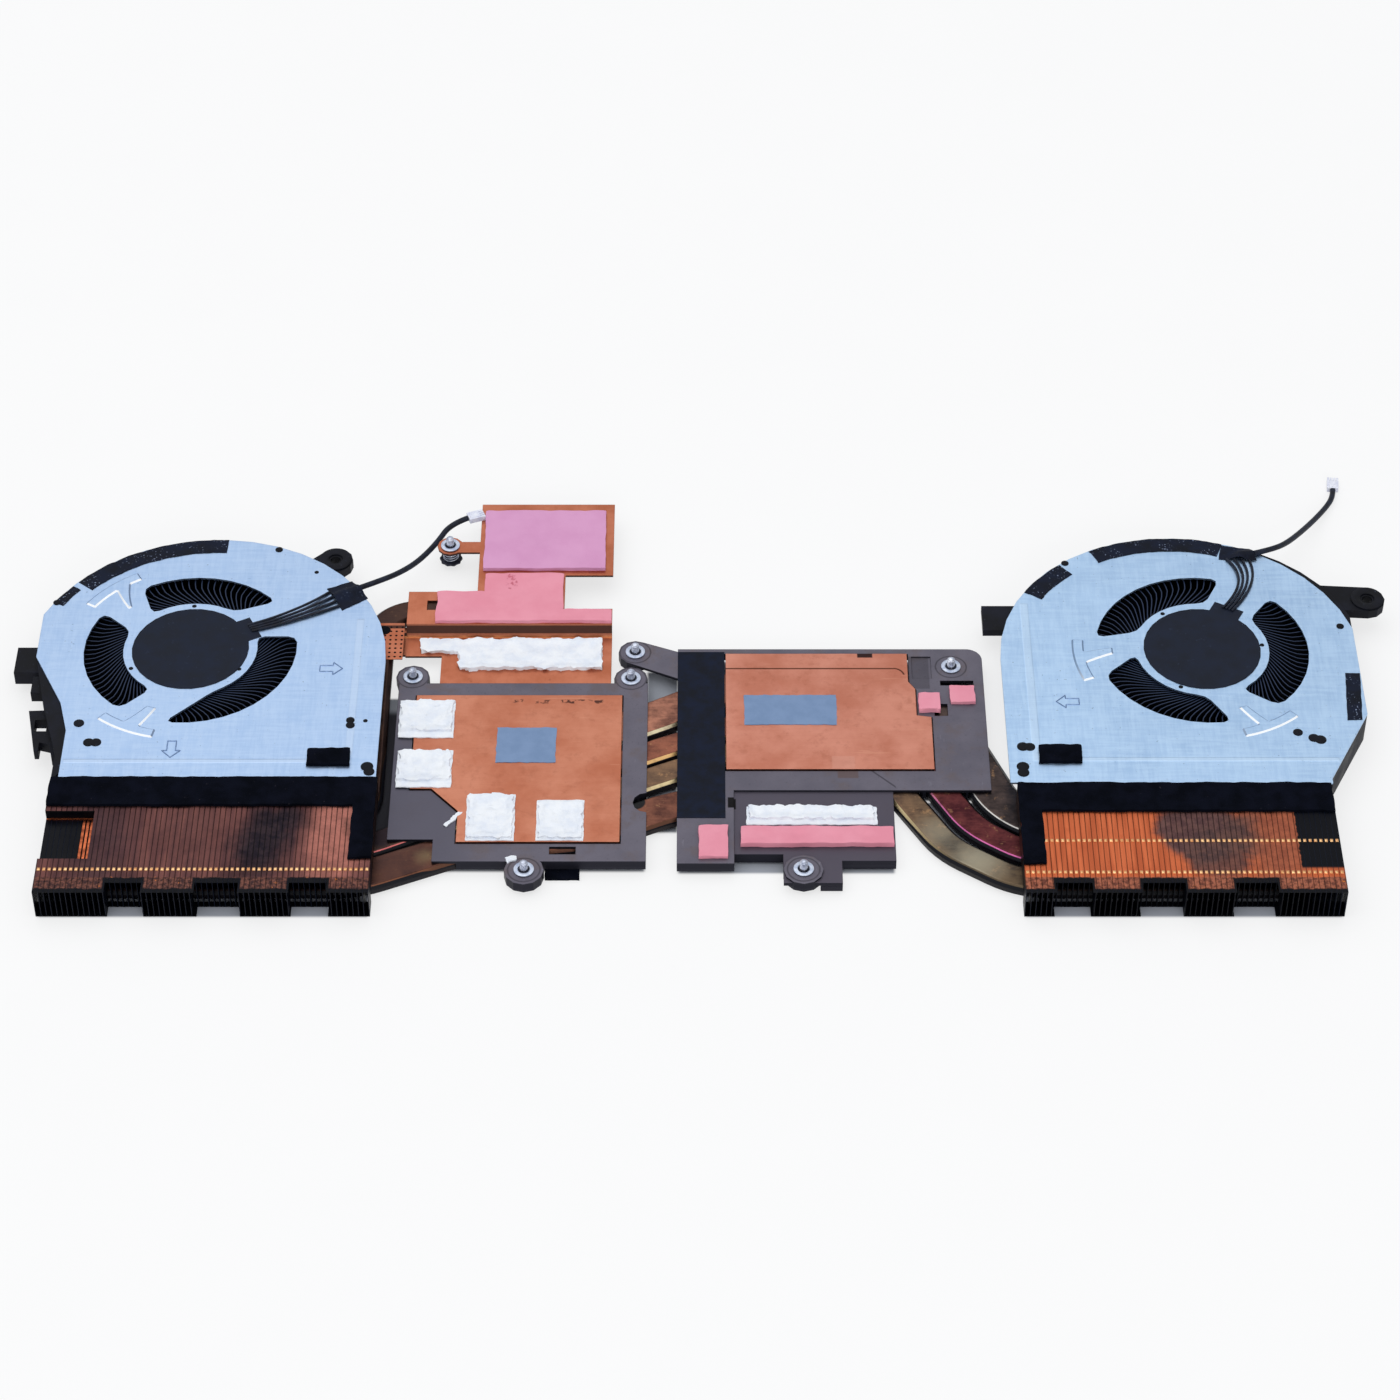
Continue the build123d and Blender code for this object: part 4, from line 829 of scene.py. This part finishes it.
dents = [(-60, 31, 4, 0.35), (-45, 37, 4.5, 0.3), (-33, 28, 3, 0.25)]
rough = dented(dents, ragged(6, 0.35, 0.14, 22, DECK_TOP))
rects = [(-70, -24.4, 25.7, 30), (-70, -37.1, 30, 36.9), (-57.7, -37.1, 36.9, 44)]
slab(rects, DECK_TOP, PAD, 0.8, 0.25, rough)
dents = [(14, -49.5, 2.6, 0.4), (23, -49, 2.4, 0.45), (31, -49.6, 2.6, 0.4), (39, -49.2, 2.4, 0.4)]
rough = dented(dents, ragged(5, 0.3, 0.14, 23, FRONT_SHELF))
slab([(8.7, 46.3, -52.4, -46.5)], FRONT_SHELF, 1.45, 0.7, 0.25, rough)
for number, (rect, tall) in enumerate((
    ((-1.7, 5.4, -57, -46.2), 0.95), ((54.2, 59.8, -5.5, 0.7), 1.4), ((62.4, 68.7, -2.4, 3.8), 0.95),
)):
    slab([rect], BRACKET_TOP, tall, 0.6, 0.25, ragged(3.5, 0.3, 0.14, 24 + number, BRACKET_TOP))
piece("pink_sheets", [PINK], ["pink_pads"], smooth=SMOOTH)

for number, rect in enumerate(((-52.6, -37.7, -23.9, -11.4), (9.8, 33.3, -10.3, 0.5))):
    spread = ragged(1.6, 0.22, 0.02, 31 + number, PLATE_TOP)
    slab([rect], PLATE_TOP, SHEET, 0.5, 0.04, spread)
piece("die_films", [FILM], ["die_pads"], smooth=SMOOTH)

for number, rects in enumerate((
    [(-162.5, -81.4, -43.4, -33.8), (-87, -81.4, -61.4, -43.4)],
    [(77.2, 154.9, -45.4, -35.8), (77.2, 82.8, -63.4, -45.4)],
)):
    slab(rects, FIN_TOP, 0.75, 1, 0.3, ragged(4, 0.3, 0.16, 41 + number, FIN_TOP))
piece("gasket_strips", [FOAM], ["fin_gaskets"], smooth=SMOOTH)

for number, (rect, low, tall) in enumerate((
    ((-99.3, -88.7, -30.1, -24.4), FAN_TOP, 0.95), ((83.1, 93.9, -29.1, -23.1), FAN_TOP, 0.95),
    ((-39.4, -30.9, -60.5, -56.7), 0, 1.2),
)):
    slab([rect], low, tall, 0.7, 0.3, ragged(2.5, 0.25, 0.15, 44 + number, low))
piece("foam_pieces", [FOAM], ["foam_blocks"], smooth=SMOOTH)

RIM_RADIUS = 46.2
for centre, low, high, width, seed in (
    ((-128.2, 8.6), 87, 140, 5, 51), ((-128.2, 8.6), 142.5, 152, 2.6, 52),
    ((121.9, 9.2), 72, 117, 5, 53), ((121.9, 9.2), 129, 147, 5, 54),
):
    half = math.radians(high - low) / 2 * RIM_RADIUS
    wrap = around(centre, RIM_RADIUS, (low + high) / 2, ragged(3, 0.25, 0.05, seed, FAN_TOP))
    slab([(-half, half, RIM_RADIUS - width, RIM_RADIUS)], FAN_TOP, SHEET, 1, 0.05, wrap)
corners = [(161.6, -13.6), (163, 3.6), (166.8, 3.6), (165.4, -13.4)]
drape = spread_over(corners, [(164.5, -13.6), (164.5, 3.5)], 0, 1, ragged(3, 0.2, 0.05, 55, FAN_TOP))
slab([(0, 1, 0, 1)], FAN_TOP, SHEET, 0.1, 0, drape)
piece("rim_tape_strips", [RIM_TAPE], ["rim_tapes"], smooth=SMOOTH)

for corners, line, seed in (
    ([(-94.1, 27.3), (-98.6, 35.7), (-92.2, 38.5), (-87.7, 31.9)], [(-97, 31.2), (-89.5, 35.4)], 57),
    (
        [(144.9, 46.4), (134.8, 47.2), (136, 52.8), (143.2, 50.8)],
        [(139.9, 46.6), (141.2, 48.4), (144.6, 48.8)], 58,
    ),
):
    drape = spread_over(corners, line, 1.45, 1.9, ragged(2.4, 0.18, 0.1, seed, FAN_TOP))
    slab([(0, 1, 0, 1)], FAN_TOP, SHEET, 0.06, 0, drape)
piece("cable_tape_patches", [CABLE_TAPE], ["cable_tapes"], smooth=70)


# Fasteners: screws with a lobed head, a thread and a retaining washer, and their coil springs

SCREW_TRAVEL = 1
SPRING_GAP = 0.05


def lobed(angle, radius):
    return radius * (1 + 0.05 * math.cos(10 * angle)) if radius > 2.4 else radius


for name, (x, y) in SCREW_PLACES.items():
    tall = name == "regulator"
    head, seat, tip = (1.4, 6.4, 9.4) if tall else (0.4, 4.1, 7.1)
    profile = [(0.7, 0.45), (0.9, 0.02), (2.5, 0), (2.88, 0.2), (2.88, 0.7), (2.55, 0.9), (1, 0.9), (1, 1)]
    lathe(x, y, head, profile, 40, 1, lobed)
    profile = [(1, head + 0.95), (1, seat + 0.75)]
    height = seat + 0.85
    while height < tip - 0.45:
        profile += [(0.8, height), (1, height + 0.1), (1, height + 0.18), (0.8, height + 0.28)]
        height += 0.36
    profile += [(0.8, tip - 0.3), (0.5, tip - 0.02), (0.2, tip)]
    lathe(x, y, 0, profile, 20)
    profile = [(1.5, 0), (2.35, 0), (2.5, 0.1), (2.5, 0.28), (2.35, 0.38), (1.6, 0.34), (1.5, 0.24)]
    lathe(x, y, seat, profile, 36, 2)
    lathe(x, y, seat, [(1, 0.02), (1.46, 0.02), (1.46, 0.3), (1.3, 0.5), (1, 0.5)], 28, 1)
    screw = f"{name}_screw"
    piece(f"{name}_captive_screw", [SCREW, DARK_STEEL, WASHER], [screw], screw)
    low, high, turns = (2.4, 5.6, 5) if tall else (1.4, 3.1, 3)
    coil = []
    for k in range(turns * 16 + 1):
        angle = 2 * math.pi * k / 16
        share = min(1, max(0, (k - 10) / (turns * 16 - 20)))
        rise = low + 0.12 + (high - low - 0.24) * share
        coil.append((x + 1.95 * math.cos(angle), y + 1.95 * math.sin(angle), rise))
    tube(coil, 0.14, 6)
    spring = piece(f"{name}_coil", [SCREW], [f"{name}_spring"], smooth=SMOOTH)
    end = high + SPRING_GAP
    span = end - (low - SPRING_GAP)
    place = (x * MM, y * MM, end * MM)
    (span - SCREW_TRAVEL) / span
    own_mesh(spring)


# Ribs, arrows, stakes and bosses on the fans, small folds on plates, pipe and fins, and black sheets that stand for
# shade under the fin fronts


def rib(hub, bar, root, end):
    """A raised T on a fan plate: a curved bar with a stem that narrows towards the hub, angles in degrees."""
    keys = [(33.4, bar[0]), (33.4, bar[1]), (30.4, bar[1]), (30.4, root[1])]
    keys += [(23, end[1]), (23, end[0]), (30.4, root[0]), (30.4, bar[0])]
    outline = []
    for (near, start), (far, stop) in zip(keys, keys[1:] + keys[:1]):
        count = max(1, round(math.hypot(far - near, math.radians(stop - start) * near)))
        for k in range(count):
            radius, angle = near + (far - near) * k / count, math.radians(start + (stop - start) * k / count)
            outline.append(Vector((hub[0] + radius * math.cos(angle), hub[1] + radius * math.sin(angle))))
    pairs = list(zip(outline, outline[1:] + outline[:1]))
    outline = [here.lerp(there, share) for here, there in pairs for share in (0.25, 0.75)]
    rings = []
    for inset, height in ((-0.1, FAN_TOP - 0.05), (0.4, FAN_TOP + 0.34)):
        ring = []
        for k, place in enumerate(outline):
            ahead = (outline[(k + 1) % len(outline)] - outline[k - 1]).normalized()
            ring.append(build.verts.new((place.x - ahead.y * inset, place.y + ahead.x * inset, height)))
        rings.append(ring)
    low, high = rings
    for k in range(len(outline)):
        build.faces.new([low[k - 1], low[k], high[k], high[k - 1]])
    for ring in rings:
        rim = [build.edges.get((ring[k - 1], ring[k])) for k in range(len(ring))]
        bmesh.ops.triangle_fill(build, use_beauty=True, edges=rim)


rib(LEFT_HUB, (119.6, 149.3), (126, 134), (136, 139))
rib(LEFT_HUB, (-129.3, -101.5), (-118, -109.6), (-113, -106.5))
rib(RIGHT_HUB, (174, 201.3), (182.4, 190.1), (179, 185))
rib(RIGHT_HUB, (-76, -48.6), (-67.4, -61.9), (-71.5, -66))
piece("plate_ribs", [RIB_STEEL], smooth=25)

ARROW = [(-2.9, 0), (-0.5, 2.3), (-0.5, 1.1), (2.9, 1.1), (2.9, -1.1), (-0.5, -1.1), (-0.5, -2.3), (-2.9, 0)]
for x, y, heading in ((-133.5, -24, 90), (-95.5, 5.4, 180), (91.6, -6.8, 0)):
    put = turned(x, y, heading)
    corners = [put(Vector((*corner, FAN_TOP + 0.02))) for corner in ARROW]
    outline = [first.lerp(second, k / 4) for first, second in zip(corners, corners[1:]) for k in range(4)]
    tube(outline + corners[-1:], 0.16, 6)
piece("plate_arrows", [ARROW_STEEL])

STAKES = [
    (-168.4, 30.4, 1), (-112.3, 51.1, 1), (-157.6, -14.7, 1.35), (-154.4, -21.6, 1.4), (-152.6, -21.6, 1.4),
    (-89.4, -13.6, 1.1), (-89.3, -15.4, 1.15), (-84.2, -30.2, 1.6), (-83.6, -32, 1.4), (94.4, 45.7, 1),
    (163.8, 21.3, 1), (148.6, -18, 1.25), (152.4, -20, 1.4), (154, -20.6, 1.5), (79.3, -23.1, 1.5),
    (81, -23.2, 1.4), (78.9, -30.2, 1.6), (78.9, -32.3, 1.5),
]
HOLES = [
    (-132.6, 29), (-146.6, 5.4), (-119, 5.2), (-101.8, 42.2), (-85.6, -13.8), (118.4, 26.1), (142.9, 14.2),
    (120.7, -1.4),
]
EARS = [(-97.3, 48.4), (172.3, 33)]
for x, y, radius in STAKES:
    lathe(x, y, FAN_TOP, [(radius, -0.05), (radius, 0.1), (radius * 0.75, 0.24), (radius * 0.3, 0.3)], 16)
for x, y in HOLES:
    lathe(x, y, FAN_TOP, [(0.6, -0.05), (0.6, 0.03), (0.3, 0.01)], 14)
piece("plastic_stakes", [BLACK])

for x, y in EARS:
    boss = [(1.85, -0.1), (4.2, -0.1), (4.25, 0.35), (4, 0.5), (2.1, 0.5), (1.85, 0.3)]
    lathe(x, y, EAR_TOP, boss, 36, ring_shaped=True)
piece("ear_bosses", [HOUSING])

SKIRT_LOW, SKIRT_TALL = 0.5, 1.9
for rect in (
    (7, 19.8, -54.9, -54.1), (19, 19.8, -60.6, -54.9), (28, 33.4, -64.6, -63.8), (32.6, 33.4, -63.8, -57.1),
    (32.6, 46.7, -57.1, -56.3), (45.9, 46.7, -56.3, -51),
):
    slab([rect], SKIRT_LOW, SKIRT_TALL, 3, 0)
piece("shelf_skirt", [BRACKET])

SHEET_TOP = 5.85
slab([(-86.6, -77.9, 12.4, 26.2)], SHEET_TOP - 0.15, 0.15, 2, 0.06)
for column in range(5):
    for row in range(8):
        x, y = -84.3 + 1.45 * column, 13.4 + 1.6 * row
        lathe(x, y, SHEET_TOP, [(0.34, -0.05), (0.3, 0.03), (0.1, 0.02)], 10, 1)
# A black disc of painted shade standing for a hole in the sheet.
lathe(-83.2, 23.4, SHEET_TOP, [(1.7, -0.05), (1.65, 0.04)], 24, 1)
piece("dotted_sheet", [REGULATOR, FLAT_BLACK])

for start, pitch, count, row in ((-162.4, 1.305, 62, -65), (77.3, 1.313, 59, -55.3), (77.3, 1.313, 59, -66)):
    for number in range(count):
        x = start + pitch * (number + 0.5)
        if row == -55.3 and x < 83:
            continue
        slab([(x - 0.4, x + 0.4, row - 0.5, row + 0.5)], FIN_TOP - 0.05, 0.25, 1.2, 0.2)
piece("interlock_dots", [GOLD])

# Black sheets on the floor under the fin fronts, standing for the shade there, and a black wall at the back of the
# left notch.
for low, high, steps in ((-162.5, -81.4, LEFT_STEPS), (77.2, 154.9, RIGHT_STEPS)):
    edges = [low] + [place for step in steps for place in step] + [high]
    rects = [(low, high, FIN_RECESS, FIN_LIP)]
    rects += [(near, far, FIN_FRONT, FIN_RECESS) for near, far in zip(edges[::2], edges[1::2])]
    slab(rects, 0, 0.2, 3, 0)
slab([(-162.4, -150.4, -45.3, -45)], 6.05, 2.45, 3, 0)
piece("fin_dark_sheets", [FLAT_BLACK])

for x in (-152.9, -151.9, -150.9):
    slab([(x - 0.32, x + 0.32, -61.3, -45.8)], 5.98, 0.52, 2, 0.2)
slab([(-162.4, -150.5, -45.75, -45.35)], 5.98, 0.42, 1, 0.15)
piece("notch_folds", [NOTCH_COPPER])


# Impellers with bowed blades

BLADES = 97
BLADE_HALF = 0.13
BLADE_LOW, BLADE_HIGH = 1.3, 8
HUB_CUP = [(0.3, 2.1), (13.6, 2.1), (13.6, 8.2), (14.7, 8.2), (15, 7.9), (15, 1.6), (14.4, 1.1), (0.3, 1.1)]


def blade_point(radius, turn):
    """A place on a blade that runs straight outwards at the rim and is swept back towards the hub."""
    angle = math.radians(turn - 0.4 * max(0, 25.5 - radius) ** 1.8)
    return Vector((radius * math.cos(angle), radius * math.sin(angle)))


def bowed_blade(hub, side, turn):
    """One thin blade from the hub to the rim."""
    rows = []
    for k in range(13):
        radius = 14.3 + 20.3 * (k / 12)
        place = blade_point(radius, turn)
        along = (blade_point(radius + 0.2, turn) - place).normalized()
        across = Vector((-along.y, along.x)) * BLADE_HALF
        low, high, far_low, far_high = (
            build.verts.new((hub[0] + side * flat.x, hub[1] + flat.y, z))
            for flat in (place - across, place + across) for z in (BLADE_LOW, BLADE_HIGH)
        )
        rows.append([low, high, far_high, far_low])
    skin(rows)
    build.faces.new(rows[0])
    build.faces.new(rows[-1])


for name, hub, side in (("left", LEFT_HUB, 1), ("right", RIGHT_HUB, -1)):
    for number in range(BLADES):
        bowed_blade(hub, side, 360 * number / BLADES)
    lathe(*hub, 0, HUB_CUP, 48)
    piece(f"{name}_blade_wheel", [BLADE], [f"{name}_impeller"], f"{name}_rotor")


# Wires, plugs and cables. The cables take the same routes as their solids.

CABLE_RADIUS = 0.75
LEFT_ROUTE = [
    (-89.9, 35.2, 10.1), (-85.4, 38.2, 9.6), (-80.2, 43.4, 7.9), (-75.6, 50.4, 5.8), (-71.2, 59.2, 4.6),
    (-68, 64.4, 6.4), (-63.3, 66.2, 7.1),
]
RIGHT_ROUTE = [
    (144.2, 48.65, 10.1), (148.6, 50.5, 9.7), (153.2, 54.6, 8), (158.2, 62, 5.4), (163.4, 70.6, 2.6),
    (167.6, 77.6, 1.1), (169.9, 82.2, 0.8), (170.2, 85, 0.8),
]

for number in range(4):
    shift = number - 1.5
    for start, heading, end, bulge in (
        ((-116.1, 21), 27, (-96.35 - 0.95 * shift, 31.5 + 1.75 * shift), (-106, 24)),
        ((135.9, 28.7), 62, (139.85 - 2 * shift, 46.8 + 0.16 * shift), (144, 38)),
    ):
        turn = math.radians(heading)
        begin = Vector((start[0] - 0.85 * shift * math.sin(turn), start[1] + 0.85 * shift * math.cos(turn)))
        begin -= 1.5 * Vector((math.cos(turn), math.sin(turn)))
        middle = Vector(bulge) + Vector((-0.8 * shift * math.sin(turn), 0.8 * shift * math.cos(turn)))
        points = []
        for k in range(15):
            t = k / 14
            flat = (1 - t) ** 2 * begin + 2 * t * (1 - t) * middle + t * t * Vector(end)
            points.append((flat.x, flat.y, FAN_TOP + 0.36 + 0.25 * math.sin(math.pi * t) * (1 + 0.3 * shift)))
        tube(points, 0.34, 8)
piece("fan_leads", [CABLE], ["left_fan_wires", "right_fan_wires"], smooth=SMOOTH)

for side, x, y, heading, low in (("left", -61.1, 67, 21, DECK_TOP), ("right", 170.45, 87.3, 83.9, 0)):
    fingers = [(0.9, 2.2, -1.5 + 0.8 * k, -0.9 + 0.8 * k) for k in range(4)]
    slab([(-2.2, 0.9, -1.5, 1.5)] + fingers, low, 1.45, 0.4, 0.1, turned(x, y, heading))
    slab([(-1.7, 0.5, -1.1, 1.1)], low + 1.4, 0.2, 0.5, 0.1, turned(x, y, heading))
    piece(f"{side}_plug", [PLUG], [f"{side}_fan_plug"])


def spline_curve(name, points, radius):
    """A round cord along a smooth curve."""
    data = bpy.data.curves.new(name, "CURVE")
    data.dimensions = "3D"
    spline = data.splines.new("NURBS")
    spline.points.add(len(points) - 1)
    for point, place in zip(spline.points, points):
        point.co = (*(value * MM for value in place), 1)
    spline.order_u = 3
    spline.use_endpoint_u = True
    spline.resolution_u = 10
    data.bevel_depth = radius * MM
    data.bevel_resolution = 4
    data.use_fill_caps = True
    item = bpy.data.objects.new(name, data)
    scene.collection.objects.link(item)
    return item


for side, points, length in (("left", LEFT_ROUTE, 0.0427), ("right", RIGHT_ROUTE, 0.0471)):
    cable = spline_curve(f"{side}_cable", points, CABLE_RADIUS)
    cable.data.materials.append(CABLE)
    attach(cable, "base")
    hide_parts(f"{side}_fan_cable")
    tuple(value * MM for value in points[0])


# Floor and light. The floor's glow is turned off where the assembly covers it, and a painted shadow darkens it
# there, darkest in a strip beside the left fan.

floor_mesh = bpy.data.meshes.new("floor")
floor_mesh.from_pydata([(-6, -6, 0), (6, -6, 0), (6, 6, 0), (-6, 6, 0)], [], [(0, 1, 2, 3)])
floor = bpy.data.objects.new("floor", floor_mesh)
scene.collection.objects.link(floor)
floor.location.z = -0.0002
paper = Look("floor", (0.85, 0.85, 0.86, 1), roughness=0.9)
paper.tint((0.88, 0.88, 0.89, 1), paper.noise(30, 3, 0.5, 200))
covered = paper.spot(*LEFT_HUB, 36, 2) | paper.spot(*RIGHT_HUB, 36, 2)
for rect in (
    (-162, -82, -72.6, -36), (77.6, 154.4, -72.6, -36), (-78, -15, -50, 5),
    (-67, -15, -57.4, -50), (-15, -7, -44, 14), (-6.8, 71, -33, 18),
    (-6.8, 46.4, -58, -33), (-84, -77, -58, 4),
):
    covered |= paper.rect(*rect, 0.6)
covered |= paper.spot(92, -19.3, 45.5, 1) * paper.band("Y", -70, -33.5, 0.5)
# Painted shadow on the floor under the assembly.
paper.tint((0.36, 0.38, 0.43, 1), covered)
# A near-black painted shadow in the strip between the left fan and the bracket.
paper.tint((0.03, 0.03, 0.04, 1), paper.rect(-90, -76, -60, -1, 0.6, 1.5))
paper.set("Base Color", paper.color)
seen = paper.node("LightPath", "Is Camera Ray") | paper.node("LightPath", "Is Glossy Ray")
share = seen * (0.7 - covered * 0.7)
glow = paper.node("Emission", "Emission", {"Color": (1, 1, 1, 1)})
surface = paper.node("MixShader", "Shader", {"Fac": share, 1: Value(paper, paper.shader.outputs["BSDF"]), 2: glow})
paper.plug(paper.tree.nodes["Material Output"].inputs["Surface"], surface)
floor_mesh.materials.append(paper.material)

world = bpy.data.worlds.new("studio")
scene.world = world
world.use_nodes = True
sky = world.node_tree.nodes["Background"]
sky.inputs["Color"].default_value = (0.96, 0.98, 1, 1)
sky.inputs["Strength"].default_value = 0.62


def softbox(name, place, size, power):
    """A wide light that shines at the middle of the assembly."""
    light = bpy.data.lights.new(name, "AREA")
    light.shape = "RECTANGLE"
    light.size, light.size_y = size
    light.energy = power
    item = bpy.data.objects.new(name, light)
    scene.collection.objects.link(item)
    item.location = place
    item.rotation_euler = (-Vector(place)).to_track_quat("-Z", "Y").to_euler()


softbox("overhead", (-0.3, 0.2, 1.5), (2.4, 2), 13)
softbox("front", (0.3, -1.5, 0.7), (1.4, 0.5), 6)
